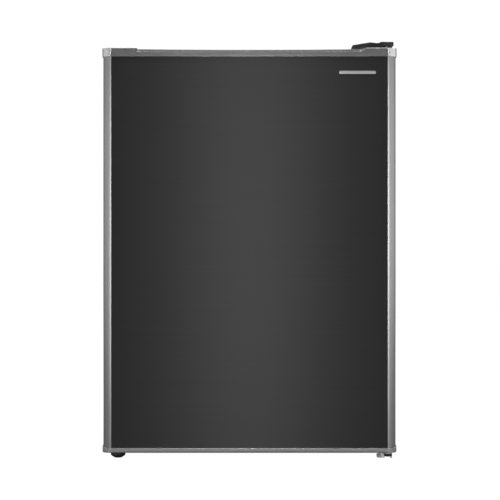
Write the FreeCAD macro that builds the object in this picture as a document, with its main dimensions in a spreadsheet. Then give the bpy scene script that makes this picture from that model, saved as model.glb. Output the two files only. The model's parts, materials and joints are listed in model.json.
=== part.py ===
import FreeCAD, Part
import math
import os

import Sketcher
from FreeCAD import Placement, Rotation, Vector

# A compact under-counter refrigerator with one reversible door.
# Frame: +X to the right, +Y to the back, +Z up; the origin is under the middle of its footprint,
# on the floor. Millimetres throughout. The door is shut, hinged on its right edge.

doc = FreeCAD.newDocument("MiniFridge")
sheet = doc.addObject("Spreadsheet::Sheet", "Sizes")


# ---------------------------------------------------------------- driving dimensions

class Size:
    """A length that carries its value and the spreadsheet expression it comes from."""

    def __init__(self, value, text):
        self.value = float(value)
        self.text = text

    def _join(self, other, sign, result):
        right = other.text if isinstance(other, Size) else repr(float(other))
        return Size(result, "(%s %s %s)" % (self.text, sign, right))

    def __add__(self, other):
        return self._join(other, "+", self.value + number(other))

    def __sub__(self, other):
        return self._join(other, "-", self.value - number(other))

    def __mul__(self, other):
        return self._join(other, "*", self.value * number(other))

    def __truediv__(self, other):
        return self._join(other, "/", self.value / number(other))

    def __neg__(self):
        return Size(-self.value, "(-1 * %s)" % self.text)


def number(size):
    return size.value if isinstance(size, Size) else float(size)


class Sizes:
    """Every row of the spreadsheet, as an attribute."""


SIZES = (
    # whole object
    ("half_depth", 235.0),
    # cabinet shell
    ("cabinet_half", 219.0), ("cabinet_front", -182.0), ("cabinet_back", 198.0),
    ("cabinet_bottom", 26.0), ("cabinet_top", 626.0), ("sheet_steel", 1.0),
    ("shell_corner", 6.0), ("front_return", 27.0), ("sill_height", 25.0),
    ("bay_front", 62.0), ("bay_top", 195.0),
    # food compartment
    ("room_half", 185.0), ("room_floor", 58.0), ("room_ceiling", 590.0), ("room_back", 156.0),
    ("step_front", 30.0), ("step_top", 229.0), ("liner_wall", 2.0), ("room_corner", 12.0),
    ("liner_flange", 7.0), ("rib_depth", 10.0), ("rib_height", 6.0),
    ("rib_front", -70.0), ("rib_back", 128.0),
    # door
    ("cap_half", 224.0), ("door_thickness", 44.0),
    ("door_bottom", 16.9), ("door_top", 632.0), ("bottom_cap_height", 7.4),
    ("top_cap_height", 13.2), ("cap_wall", 2.2),
    ("trim_half", 222.5), ("trim_inner", 209.8), ("trim_wall", 1.5), ("edge_radius", 4.2),
    ("trim_set_back", 0.3), ("skin_set_back", 1.5), ("skin_half", 211.5),
    ("bulge_half", 172.0), ("bulge_depth", 16.0), ("bulge_low", 72.0), ("bulge_high", 572.0),
    ("dike_width", 26.0), ("dike_depth", 40.0), ("dike_top", 455.0),
    ("gasket_half", 205.5), ("gasket_low", 36.5), ("gasket_high", 611.0),
    ("gasket_width", 13.0), ("gasket_gap", 0.5),
    # finger pocket along the top of the door
    ("pocket_half", 171.0), ("pocket_front", -231.5), ("pocket_side", -219.0),
    ("pocket_arc", 1831.6), ("pocket_floor", 600.0), ("pocket_wall", 1.8),
    ("lip_drop", 6.2), ("lip_slope", 6.5),
    # hinges
    ("hinge_right", 212.0), ("hinge_line", -213.0), ("pin_radius", 3.0), ("bush_radius", 6.0),
    ("bush_gap", 0.08), ("hinge_steel", 3.0), ("arm_lift", 10.0), ("arm_radius", 4.8),
    ("arm_left", 5.0), ("arm_right", 4.5),
    ("hinge_foot_left", 168.0), ("screw_radius", 2.5), ("screw_head", 4.6),
    # feet
    ("foot_side", 206.0), ("foot_line", -160.0), ("thread_gap", 0.08), ("foot_radius", 11.5),
    ("stud_radius", 4.0),
    ("rear_foot_side", 190.0), ("rear_foot_line", 176.0), ("rear_foot_radius", 12.0),
    # freezer
    ("freezer_left", -171.0), ("freezer_right", 118.0), ("freezer_floor", 478.0),
    ("freezer_front", -54.0), ("freezer_back", 144.0), ("plate_aluminium", 1.5),
    ("frame_left", -177.0), ("frame_right", 124.0), ("frame_low", 474.0), ("frame_high", 586.0),
    ("frame_front", -66.0), ("ear_width", 4.5), ("flap_axis_line", -71.0),
    ("flap_axis_height", 485.0), ("flap_half_thickness", 4.0), ("flap_pin", 2.5), ("flap_top", 580.0),
    # shelves, crisper, trays
    ("upper_shelf", 352.0), ("lower_shelf", 244.0), ("glass_thickness", 4.0),
    ("shelf_half", 183.0), ("shelf_front", -79.0), ("shelf_back", 137.0),
    ("crisper_half", 176.0), ("crisper_front", -84.0), ("crisper_back", 18.0),
    ("crisper_base", 58.6), ("crisper_top", 228.0), ("tray_wall", 2.0), ("bin_wall", 2.5),
    ("drip_left", -160.0), ("drip_right", 107.0), ("drip_base", 456.0), ("drip_top", 472.5),
    ("rack_half", 146.0), ("rack_front", -95.0),
    # thermostat
    ("dial_side", 149.0), ("dial_height", 548.0), ("dial_radius", 17.0),
    ("spindle_radius", 3.0),
    ("housing_left", 126.0), ("housing_right", 172.0), ("housing_low", 505.0),
    ("housing_front", -50.0), ("housing_back", 60.0),
    # refrigeration plant
    ("compressor_side", -50.0), ("compressor_line", 129.0), ("compressor_radius", 58.0),
    ("compressor_base", 40.0), ("compressor_high", 128.0),
    ("coil_line", 214.0), ("coil_low", 215.0), ("coil_pitch", 38.0), ("coil_half", 150.0),
    ("tube_radius", 2.5), ("wire_radius", 0.75), ("wire_pitch", 12.0),
)

s = Sizes()
for row, (alias, length) in enumerate(SIZES, start=1):
    sheet.set("A%d" % row, alias)
    sheet.set("B%d" % row, repr(length))
    sheet.setAlias("B%d" % row, alias)
    setattr(s, alias, Size(length, "Sizes." + alias))
doc.recompute()

door_front = -s.half_depth
door_back = door_front + s.door_thickness
skin_front = door_front + s.skin_set_back
skin_back = skin_front + s.sheet_steel
bulge_face = door_back + s.bulge_depth
dike_face = bulge_face + s.dike_depth
dike_inner = s.bulge_half - s.dike_width
low_seam = s.door_bottom + s.bottom_cap_height
high_seam = s.door_top - s.top_cap_height


# ---------------------------------------------------------------- building blocks

def bind(obj, prop, size):
    """Sets a property from the spreadsheet, or to a plain number."""
    if isinstance(size, Size):
        obj.setExpression(prop, size.text)
    else:
        obj.setExpression(prop, repr(float(size)))


def move(obj, x, y, z):
    for axis, size in zip("xyz", (x, y, z)):
        bind(obj, "Placement.Base." + axis, size)


def box(name, x, y, z):
    """A block between two corners: x, y and z are each (low, high)."""
    block = doc.addObject("Part::Box", name)
    for prop, (low, high) in zip(("Length", "Width", "Height"), (x, y, z)):
        bind(block, prop, high - low if isinstance(high, Size) else -(low - high)
             if isinstance(low, Size) else high - low)
    move(block, x[0], y[0], z[0])
    return block


TURNS = {
    "z": Rotation(),
    "x": Rotation(Vector(0, 1, 0), 90),
    "y": Rotation(Vector(1, 0, 0), -90),
}


def rod(name, x, y, z, radius, length, along="z"):
    """A cylinder that starts at a point and runs along one axis."""
    cylinder = doc.addObject("Part::Cylinder", name)
    bind(cylinder, "Radius", radius)
    bind(cylinder, "Height", length)
    cylinder.Placement = Placement(Vector(), TURNS[along])
    move(cylinder, x, y, z)
    return cylinder


def fuse(name, *shapes):
    joined = doc.addObject("Part::MultiFuse", name)
    joined.Shapes = list(shapes)
    return joined


def cut(name, base, *tools):
    result = doc.addObject("Part::Cut", name)
    result.Base = base
    result.Tool = tools[0] if len(tools) == 1 else fuse(name + "_tools", *tools)
    return result


def common(name, base, tool):
    result = doc.addObject("Part::Common", name)
    result.Base = base
    result.Tool = tool
    return result


def group(name, *shapes):
    """Separate solids that share one node."""
    together = doc.addObject("Part::Compound", name)
    together.Links = list(shapes)
    return together


def mirrored(name, source):
    """The same piece on the other side of the middle plane."""
    copy = doc.addObject("Part::Mirroring", name)
    copy.Source = source
    copy.Normal = Vector(1, 0, 0)
    return copy


def rounded(name, base, radius, wanted, kind="Part::Fillet"):
    """Rounds (or bevels) those edges of a finished shape that a test picks out."""
    doc.recompute()
    result = doc.addObject(kind, name)
    result.Base = base
    chosen = [i for i, edge in enumerate(base.Shape.Edges, start=1) if wanted(edge)]
    result.Edges = [(i, number(radius), number(radius)) for i in chosen]
    return result


def along(axis, where=lambda p: True):
    """Picks straight edges that run along an axis and whose middle passes a test."""
    def test(edge):
        if edge.Curve.TypeId != "Part::GeomLine":
            return False
        run = edge.Vertexes[-1].Point - edge.Vertexes[0].Point
        middle = (edge.Vertexes[-1].Point + edge.Vertexes[0].Point) / 2
        return abs(getattr(run.normalize(), axis)) > 0.999 and where(middle)
    return test


def level(height, where=lambda p: True):
    """Picks edges that lie in one horizontal plane."""
    def test(edge):
        flat = all(abs(v.Point.z - number(height)) < 1e-4 for v in edge.Vertexes)
        return flat and where(edge.CenterOfMass)
    return test


def near(value, size, slack=0.01):
    return abs(value - number(size)) < slack


# Sketch planes: which origin plane, and whether a pad must be reversed to grow towards +axis.
PLANES = {"XY": ("XY_Plane", False), "XZ": ("XZ_Plane", True), "YZ": ("YZ_Plane", False)}


def draw(body, plane, start, corners, holes=()):
    """A closed, fully constrained outline. A corner is (h, v), or (h, v, radius) where the edge
    that arrives there is an arc: a positive radius turns left, a negative one turns right."""
    role, reverse = PLANES[plane]
    outline = body.newObject("Sketcher::SketchObject", body.Name + "_sketch")
    origin = next(f for f in body.Origin.OriginFeatures if f.Role == role)
    outline.AttachmentSupport = (origin, [""])
    outline.MapMode = "FlatFace"
    start = start if isinstance(start, Size) else Size(start, repr(float(start)))
    bind(outline, "AttachmentOffset.Base.z", -start if reverse else start)

    points = [Vector(number(c[0]), number(c[1]), 0) for c in corners]
    ends = []
    for i, corner in enumerate(corners):
        before, here = points[i - 1], points[i]
        if len(corner) == 2:
            index = outline.addGeometry(Part.LineSegment(before, here), False)
            ends.append((index, 1, 2))
            continue
        radius, turn = abs(number(corner[2])), math.copysign(1.0, number(corner[2]))
        chord = here - before
        left = Vector(-chord.y, chord.x, 0).normalize() * turn
        reach = math.sqrt(max(radius ** 2 - (chord.Length / 2) ** 2, 0.0))
        top = (before + here) / 2 + left * (reach - radius)
        pair = (before, here) if turn > 0 else (here, before)
        index = outline.addGeometry(Part.Arc(pair[0], top, pair[1]), False)
        ends.append((index, 1, 2) if turn > 0 else (index, 2, 1))
        size = corner[2] if turn > 0 else -corner[2]
        hold(outline, Sketcher.Constraint("Radius", index, radius), size)
    for i, corner in enumerate(corners):
        here, following = ends[i], ends[(i + 1) % len(ends)]
        outline.addConstraint(
            Sketcher.Constraint("Coincident", here[0], here[2], following[0], following[1]))
        pin_down(outline, here[0], here[2], corner)
    for across, up, radius in holes:
        circle = Part.Circle(Vector(number(across), number(up), 0), Vector(0, 0, 1), number(radius))
        index = outline.addGeometry(circle, False)
        hold(outline, Sketcher.Constraint("Radius", index, number(radius)), radius)
        pin_down(outline, index, 3, (across, up))
    return outline


def hold(outline, constraint, size):
    index = outline.addConstraint(constraint)
    if isinstance(size, Size):
        outline.setExpression("Constraints[%d]" % index, size.text)


def pin_down(outline, index, end, corner):
    for kind, size in (("DistanceX", corner[0]), ("DistanceY", corner[1])):
        hold(outline, Sketcher.Constraint(kind, -1, 1, index, end, number(size)), size)


def slab(name, plane, start, length, corners, holes=()):
    """A body: one outline padded from a plane towards the positive axis."""
    body = doc.addObject("PartDesign::Body", name)
    pad = body.newObject("PartDesign::Pad", name + "_pad")
    pad.Profile = draw(body, plane, start, corners, holes)
    pad.Reversed = PLANES[plane][1]
    bind(pad, "Length", length)
    return body


def turned(name, corners, x, y, z, along_axis="z"):
    """A body of revolution: an outline of (radius, height) turned about its own axis."""
    body = doc.addObject("PartDesign::Body", name)
    turn = body.newObject("PartDesign::Revolution", name + "_turn")
    turn.Profile = draw(body, "XZ", 0.0, corners)
    turn.ReferenceAxis = (turn.Profile[0], ["V_Axis"])
    turn.Angle = 360.0
    body.Placement = Placement(Vector(), TURNS[along_axis])
    move(body, x, y, z)
    return body


def rectangle(low_h, high_h, low_v, high_v):
    return [(high_h, low_v), (high_h, high_v), (low_h, high_v), (low_h, low_v)]


def tube(name, points, bends, radius):
    """A round tube along straight runs; bends holds the radius at each inner corner."""
    edges = []
    start = Vector(*[number(c) for c in points[0]])
    for i in range(1, len(points)):
        corner = Vector(*[number(c) for c in points[i]])
        if i == len(points) - 1:
            edges.append(Part.LineSegment(start, corner).toShape())
            break
        after = Vector(*[number(c) for c in points[i + 1]])
        arriving = (corner - start).normalize()
        leaving = (after - corner).normalize()
        half_turn = arriving.getAngle(leaving) / 2
        set_back = number(bends[i - 1]) * math.tan(half_turn)
        first, last = corner - arriving * set_back, corner + leaving * set_back
        inward = (leaving - arriving).normalize()
        depth = number(bends[i - 1]) * (1 / math.cos(half_turn) - 1)
        if (first - start).Length > 1e-6:
            edges.append(Part.LineSegment(start, first).toShape())
        edges.append(Part.Arc(first, corner + inward * depth, last).toShape())
        start = last
    path = Part.Wire(edges)
    heading = edges[0].tangentAt(edges[0].FirstParameter)
    ring = Part.Wire(Part.makeCircle(number(radius), path.Vertexes[0].Point, heading))
    piece = doc.addObject("Part::Feature", name)
    piece.Shape = path.makePipeShell([ring], True, False)
    return piece


nodes = []


def node(obj, label):
    """Marks an object as a finished sub-part; its label names its file."""
    obj.Label = label
    nodes.append(obj)
    return obj


# ---------------------------------------------------------------- cabinet shell

def cabinet_shell():
    """Left and right side panels and the top panel, each a folded sheet with a front return."""
    steel = s.sheet_steel
    front, back = s.cabinet_front, s.cabinet_back
    side = slab("side_panel", "XY", s.cabinet_bottom, s.cabinet_top - s.shell_corner
                - s.cabinet_bottom, [
                    (s.cabinet_half, front), (s.cabinet_half, back),
                    (s.cabinet_half - steel, back), (s.cabinet_half - steel, front + steel),
                    (s.cabinet_half - s.front_return, front + steel),
                    (s.cabinet_half - s.front_return, front)])
    node(side, "right_side_panel")
    node(mirrored("left_side", side), "left_side_panel")

    low = s.cabinet_top - s.shell_corner
    inner = s.cabinet_half - steel
    straight = s.cabinet_half - s.shell_corner
    bend = s.shell_corner - steel
    sheet_top = slab("top_sheet", "XZ", front, back - front, [
        (s.cabinet_half, low), (straight, s.cabinet_top, s.shell_corner),
        (-straight, s.cabinet_top), (-s.cabinet_half, low, s.shell_corner),
        (-inner, low), (-straight, s.cabinet_top - steel, -bend),
        (straight, s.cabinet_top - steel), (inner, low, -bend)])
    fold_low = s.room_ceiling + s.liner_flange
    fold = box("top_fold", (-(s.cabinet_half - s.front_return), s.cabinet_half - s.front_return),
               (front, front + steel), (fold_low, s.cabinet_top - steel))
    corner_fold = slab("top_corner_fold", "XZ", front, steel, [
        (inner, low), (straight, s.cabinet_top - steel, bend),
        (-straight, s.cabinet_top - steel), (-inner, low, bend)])
    holes = [rod("top_hole%d" % i, x, y, s.cabinet_top - 20.0, s.screw_radius + 0.1, 25.0)
             for i, (x, y) in enumerate(TOP_SCREWS + plug_places())]
    node(cut("top_panel_cut", fuse("top_panel_sheet", sheet_top, fold, corner_fold), *holes),
         "top_panel")


# Where the top hinge is screwed down, and the same three places for a left-hand door.
TOP_SCREWS = [(176.0, -146.0), (206.0, -146.0), (191.0, -162.0)]


def plug_places():
    return [(-x, y) for x, y in TOP_SCREWS]


def back_panel():
    """A flat sheet with three pressed stiffening beads, above the compressor bay."""
    steel = s.sheet_steel
    half = s.cabinet_half - 1.5
    panel = box("back_sheet", (-half, half), (s.cabinet_back - steel, s.cabinet_back),
                (s.bay_top, s.cabinet_top - s.shell_corner))
    beads = []
    for i, x in enumerate((-110.0, 0.0, 110.0)):
        bead = rod("bead%d" % i, x, s.cabinet_back - 2.0, s.bay_top + 40.0, 4.0, 330.0)
        beads.append(bead)
    keep = box("bead_room", (-half, half), (s.cabinet_back, s.cabinet_back + 5.0),
               (s.bay_top, s.cabinet_top))
    raised = common("raised_beads", fuse("bead_rods", *beads), keep)
    node(fuse("back_panel_pressed", panel, raised), "back_panel")


def base_pan():
    """One bent sheet: front sill, cabinet bottom, front wall and roof of the compressor bay."""
    steel = s.sheet_steel
    bottom, front = s.cabinet_bottom, s.cabinet_front
    pan = slab("base_pan_sheet", "YZ", -(s.cabinet_half - 1.1), (s.cabinet_half - 1.1) * 2, [
        (front, bottom), (s.bay_front, bottom), (s.bay_front, s.bay_top - steel),
        (s.cabinet_back - steel, s.bay_top - steel), (s.cabinet_back - steel, s.bay_top),
        (s.bay_front - steel, s.bay_top), (s.bay_front - steel, bottom + steel),
        (front + steel, bottom + steel), (front + steel, bottom + s.sill_height),
        (front, bottom + s.sill_height)])
    corner = s.cabinet_half - s.front_return
    notches = [box("sill_notch%d" % i, x, (front - 1.0, front + steel),
                   (bottom - 1.0, bottom + s.sill_height + 1.0))
               for i, x in enumerate(((corner, s.cabinet_half), (-s.cabinet_half, -corner)))]
    studs = [rod("pan_hole_right", s.foot_side, s.foot_line, bottom - 2.0, s.stud_radius + 0.6, 6.0),
             rod("pan_hole_left", -s.foot_side, s.foot_line, bottom - 2.0,
                 s.stud_radius + s.thread_gap, 6.0)]
    screws = [rod("pan_screw%d" % i, x, y, bottom - 2.0, s.screw_radius + 0.1, 6.0)
              for i, (x, y) in enumerate(BOTTOM_SCREWS)]
    node(cut("base_pan_cut", pan, *notches, *studs, *screws), "base_pan")


# Where the bottom hinge is screwed to the base pan.
BOTTOM_SCREWS = [(206.0, -134.0), (192.0, -142.0), (192.0, -172.0)]


def insulation():
    """The foamed-in-place block between the sheet metal and the liner."""
    steel = s.sheet_steel
    half = s.cabinet_half - steel - 0.1
    block = slab("foam_block", "YZ", -half, half * 2, [
        (s.cabinet_front + steel + 0.1, s.cabinet_bottom + steel),
        (s.bay_front - steel, s.cabinet_bottom + steel),
        (s.bay_front - steel, s.bay_top), (s.cabinet_back - steel, s.bay_top),
        (s.cabinet_back - steel, s.cabinet_top - steel - 0.1),
        (s.cabinet_front + steel + 0.1, s.cabinet_top - steel - 0.1)])
    corners = rounded("foam_corners", block, s.shell_corner,
                      along("y", lambda p: near(p.z, s.cabinet_top - steel - 0.1)))
    wall = s.liner_wall
    room = slab("foam_room", "YZ", -(s.room_half + wall), (s.room_half + wall) * 2, [
        (s.cabinet_front - 1.0, s.room_floor - wall), (s.step_front + wall, s.room_floor - wall),
        (s.step_front + wall, s.step_top - wall), (s.room_back + wall, s.step_top - wall),
        (s.room_back + wall, s.room_ceiling + wall),
        (s.cabinet_front - 1.0, s.room_ceiling + wall)])
    out = s.liner_flange + 0.2
    flange = box("foam_flange", (-(s.room_half + out), s.room_half + out),
                 (s.cabinet_front, s.cabinet_front + 1.7),
                 (s.room_floor - out, s.room_ceiling + out))
    wells = [rod("foam_well%d" % i, x, s.foot_line, s.cabinet_bottom, s.stud_radius + 0.5, 26.0)
             for i, x in enumerate((s.foot_side, -s.foot_side))]
    top = [rod("foam_top%d" % i, x, y, s.cabinet_top - 14.0, s.screw_radius + 0.2, 15.0)
           for i, (x, y) in enumerate(TOP_SCREWS + plug_places())]
    low = [rod("foam_low%d" % i, x, y, s.cabinet_bottom, s.screw_radius + 0.2, 14.0)
           for i, (x, y) in enumerate(BOTTOM_SCREWS)]
    node(cut("foam_cut", corners, room, flange, *wells, *top, *low), "cabinet_insulation")


def liner():
    """The vacuum-formed inner liner: a stepped box with a front flange and shelf ribs."""
    wall, flange = s.liner_wall, s.liner_flange
    back, top, low = s.room_back, s.room_ceiling, s.room_floor
    outer = slab("liner_outer", "YZ", -(s.room_half + wall), (s.room_half + wall) * 2, [
        (s.cabinet_front, low - wall), (s.step_front + wall, low - wall),
        (s.step_front + wall, s.step_top - wall), (back + wall, s.step_top - wall),
        (back + wall, top + wall), (s.cabinet_front, top + wall)])
    rim = box("liner_rim", (-(s.room_half + flange), s.room_half + flange),
              (s.cabinet_front, s.cabinet_front + 1.6), (low - flange, top + flange))
    inner = slab("liner_inner", "YZ", -s.room_half, s.room_half * 2, [
        (s.cabinet_front - 2.0, low), (s.step_front, low), (s.step_front, s.step_top),
        (back, s.step_top), (back, top), (s.cabinet_front - 2.0, top)])
    inner_round = rounded(
        "liner_inner_round", inner, s.room_corner,
        lambda e: along("z", lambda p: near(p.y, back))(e)
        or along("y", lambda p: near(p.z, top) or near(p.z, low))(e)
        or along("x", lambda p: near(p.y, back) and near(p.z, top))(e))
    shell = cut("liner_shell", fuse("liner_solid", outer, rim), inner_round)
    ribs = []
    for i, height in enumerate((s.lower_shelf, 298.0, s.upper_shelf, 404.0)):
        for side in (1.0, -1.0):
            inner_edge, wall_edge = s.room_half - s.rib_depth, s.room_half + 0.5
            span = (inner_edge, wall_edge) if side > 0 else (-wall_edge, -inner_edge)
            top_z = height if isinstance(height, Size) else Size(height, repr(height))
            ribs.append(box("rib%d_%d" % (i, side), span, (s.rib_front, s.rib_back),
                            (top_z - s.rib_height, top_z)))
    node(fuse("liner_with_ribs", shell, *ribs), "inner_liner")


# ---------------------------------------------------------------- hinges

def top_hinge():
    """A cranked steel bracket on the cabinet top whose arm reaches over the door's pin."""
    thick = s.hinge_steel
    top = s.cabinet_top
    arm_low = top + s.arm_lift
    foot = slab("top_hinge_foot", "XY", top, thick, rectangle(
        s.hinge_foot_left, s.hinge_right + s.arm_right, -176.5, -138.0),
        holes=[(x, y, s.screw_radius + 0.1) for x, y in TOP_SCREWS])
    crank = slab("top_hinge_crank", "YZ", s.hinge_right - s.arm_left, s.arm_left + s.arm_right, [
        (-172.0, top), (-172.0, top + thick), (-174.0, top + thick),
        (-174.0, arm_low + thick), (s.hinge_line, arm_low + thick), (s.hinge_line, arm_low),
        (-177.0, arm_low), (-177.0, top)])
    nose = rod("top_hinge_nose", s.hinge_right, s.hinge_line, arm_low, s.arm_radius, thick)
    eye = rod("top_hinge_eye", s.hinge_right, s.hinge_line, arm_low - 1.0, s.pin_radius, thick + 2.0)
    node(cut("top_hinge_bored", fuse("top_hinge_steel", foot, crank, nose), eye),
         "top_hinge_bracket")

    tip = high_seam + 3.0
    pin = turned("top_pin", [
        (s.pin_radius, 1.0), (s.pin_radius, arm_low + thick - tip),
        (s.pin_radius + 1.2, arm_low + thick - tip), (s.pin_radius, arm_low + thick - tip + 1.2),
        (0.0, arm_low + thick - tip + 1.2), (0.0, 0.0), (s.pin_radius - 1.0, 0.0)],
        s.hinge_right, s.hinge_line, tip)
    node(pin, "top_hinge_pin")

    screws = [hex_screw("top_screw%d" % i, x, y, top + thick, 12.0, down=True)
              for i, (x, y) in enumerate(TOP_SCREWS)]
    node(group("top_screws", *screws), "top_hinge_screws")


def hex_screw(name, x, y, seat, shank, down):
    """A flanged hex screw: a washer face, a hexagon and a plain shank."""
    turn = 1.0 if down else -1.0
    lengths = (0.8, 3.2)
    base = seat if isinstance(seat, Size) else Size(seat, repr(float(seat)))
    flange_low = base if down else base - lengths[0]
    flange = rod(name + "_flange", x, y, flange_low, s.screw_head, lengths[0])
    head = doc.addObject("Part::Prism", name + "_head")
    head.Polygon = 6
    bind(head, "Circumradius", s.screw_head - 0.6)
    bind(head, "Height", lengths[1])
    move(head, x, y, base + lengths[0] * turn if down else base - lengths[0] - lengths[1])
    stem = rod(name + "_stem", x, y, base - shank if down else base - 0.4, s.screw_radius,
               shank + 0.4)
    return fuse(name, flange, head, stem)


def hinge_cover():
    """A black moulded cover: a wedge on the cabinet top and a nose over the hinge arm."""
    top = s.cabinet_top
    main = slab("cover_main", "XZ", -181.0, 49.0, [
        (218.5, top + 0.1), (218.5, 648.4), (203.0, 647.4), (198.0, 647.0), (188.0, 648.2),
        (160.0, 643.6), (160.0, top + 0.1)])
    main_round = rounded("cover_main_round", main, 1.6,
                         lambda e: not level(top + 0.1)(e) and not along("x")(e)
                         and e.BoundBox.ZMax > 636.0)
    nose = slab("cover_nose", "XZ", -224.0, 48.0, [
        (203.0, 636.0), (215.0, 636.0), (215.0, 632.6), (216.8, 632.6), (217.6, 634.6),
        (220.2, 638.4, 8.0), (220.2, 652.0), (203.0, 652.0)])
    nose_slope = common("cover_nose_sloped", nose, slab("cover_slope", "YZ", 200.0, 24.0, [
        (-176.0, 630.0), (-176.0, 648.6), (-181.0, 648.4), (-222.0, 642.7),
        (-224.0, 640.7, 2.0), (-224.0, 630.0)]))
    nose_edge = rounded("cover_nose_edge", nose_slope, 2.4,
                        lambda e: abs(e.CenterOfMass.x - 220.2) < 0.01 and e.Length > 30.0
                        and e.CenterOfMass.z > 643.0)
    nose_round = common("cover_nose_round", nose_edge, slab("cover_nose_plan", "XY", 630.0, 24.0, [
        (213.7, -224.0), (220.7, -217.0, 7.0), (220.7, -176.5), (202.0, -176.5),
        (202.0, -217.0), (209.0, -224.0, 7.0)]))
    wedge_hollow = slab("cover_hollow", "XZ", -179.2, 45.4, [
        (216.7, top - 1.0), (216.7, 646.4), (203.0, 645.6), (198.0, 645.2), (188.0, 646.2),
        (161.8, 642.0), (161.8, top - 1.0)])
    nose_room = slab("cover_nose_hollow", "XZ", -222.2, 50.0, [
        (204.8, 635.0), (217.2, 635.0), (218.4, 637.8), (218.4, 650.0), (204.8, 650.0)])
    room_slope = common("cover_room_sloped", nose_room, slab("cover_room_slope", "YZ", 200.0, 24.0, [
        (-172.0, 631.0), (-172.0, 646.6), (-181.0, 646.5), (-220.6, 641.0), (-222.2, 639.4),
        (-222.2, 631.0)]))
    nose_hollow = common("cover_room_round", room_slope, slab("cover_room_plan", "XY", 631.0, 22.0, [
        (213.4, -222.2), (218.4, -217.2, 5.0), (218.4, -172.0), (204.8, -172.0),
        (204.8, -217.9), (209.1, -222.2, 4.3)]))
    screw_seat = rod("cover_seat", 206.6, -225.0, 639.2, 1.5, 1.6, along="y")
    shell = cut("cover_shell", fuse("cover_solid", main_round, nose_round), wedge_hollow,
                nose_hollow, screw_seat)
    node(shell, "hinge_cover")


def hinge_plugs():
    """Three press-in plugs close the top holes that a left-hand hinge would use."""
    plugs = []
    for i, (x, y) in enumerate(plug_places()):
        plugs.append(turned("plug%d" % i, [
            (s.screw_radius - 0.1, 0.0), (s.screw_radius - 0.1, 6.0), (4.6, 6.0),
            (4.6, 6.6), (3.6, 7.4, 1.6), (0.0, 7.4), (0.0, 0.0)], x, y, s.cabinet_top - 6.0))
    node(group("plugs", *plugs), "hinge_hole_plugs")


def bottom_hinge():
    """A cranked steel bracket under the cabinet that carries the door and the right-hand foot."""
    low = s.cabinet_bottom
    plate_low = s.door_bottom - 3.0
    foot = slab("bottom_hinge_foot", "XY", low - 2.5, 2.5, rectangle(186.0, 218.0, -183.5, -126.0),
                holes=[(x, y, s.screw_radius + 0.1) for x, y in BOTTOM_SCREWS]
                + [(s.foot_side, s.foot_line, s.stud_radius + s.thread_gap)])
    crank = slab("bottom_hinge_crank", "YZ", 203.5, 14.5, [
        (-183.5, low), (-186.0, low), (-186.0, plate_low + 2.5), (s.hinge_line, plate_low + 2.5),
        (s.hinge_line, plate_low), (-183.5, plate_low)])
    nose = rod("bottom_hinge_nose", s.hinge_right - 1.25, s.hinge_line, plate_low, 7.25, 2.5)
    flange = slab("bottom_hinge_flange", "YZ", 217.2, 2.4, [
        (-205.5, plate_low + 2.0), (-205.5, plate_low), (-203.0, 4.5), (-197.0, 4.5),
        (-187.0, plate_low), (-187.0, plate_low + 2.0)])
    eye = rod("bottom_hinge_eye", s.hinge_right, s.hinge_line, plate_low - 1.0, s.pin_radius, 5.0)
    node(cut("bottom_hinge_bored", fuse("bottom_hinge_steel", foot, crank, nose, flange), eye),
         "bottom_hinge_bracket")

    boss = plate_low - 5.0
    pin = turned("bottom_pin", [
        (4.0, 0.0), (6.0, 1.6, 2.6), (6.0, 5.0), (s.pin_radius, 5.0),
        (s.pin_radius, 14.4), (s.pin_radius - 1.0, 15.4), (0.0, 15.4), (0.0, 0.0)],
        s.hinge_right, s.hinge_line, boss)
    node(pin, "bottom_hinge_pin")
    screws = [hex_screw("bottom_screw%d" % i, x, y, low - 2.5, 12.0, down=False)
              for i, (x, y) in enumerate(BOTTOM_SCREWS)]
    node(group("bottom_screws", *screws), "bottom_hinge_screws")


# ---------------------------------------------------------------- feet

def feet():
    """A moulded levelling foot on the left, a hex levelling screw on the right, two rear pads."""
    left = turned("left_levelling_foot", [
        (5.6, 0.0), (9.6, 2.6), (s.foot_radius, 4.6, 3.4), (s.foot_radius, 12.0),
        (s.foot_radius - 1.2, 13.2, 1.2), (s.stud_radius, 13.2), (s.stud_radius, 50.0),
        (s.stud_radius - 1.0, 51.0), (0.0, 51.0), (0.0, 0.0)],
        -s.foot_side, s.foot_line, 0.0)
    node(left, "left_levelling_foot")

    head = doc.addObject("Part::Prism", "right_foot_head")
    head.Polygon = 6
    bind(head, "Circumradius", 7.5)
    bind(head, "Height", 5.5)
    head.Placement = Placement(Vector(), Rotation(Vector(0, 0, 1), 30))
    move(head, s.foot_side, s.foot_line, 0.0)
    chamfered = rounded("right_foot_bevel", head, 0.5, level(0.0), kind="Part::Chamfer")
    shank = rod("right_foot_shank", s.foot_side, s.foot_line, 5.0, s.stud_radius, 45.0)
    node(fuse("right_foot", chamfered, shank), "right_levelling_screw")

    pads = [turned("rear_pad%d" % i, [
        (s.rear_foot_radius - 3.0, 0.0), (s.rear_foot_radius, 3.0, 3.0),
        (s.rear_foot_radius - 1.5, s.cabinet_bottom), (0.0, s.cabinet_bottom), (0.0, 0.0)],
        x, s.rear_foot_line, 0.0) for i, x in enumerate((s.rear_foot_side, -s.rear_foot_side))]
    node(group("rear_pads", *pads), "rear_feet")


# ---------------------------------------------------------------- door

# Angles between the door's flat front and the curve of its edges: at the crease, and where the
# small round takes over.
CREASE, SHOULDER = math.radians(12.0), math.radians(40.0)


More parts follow.
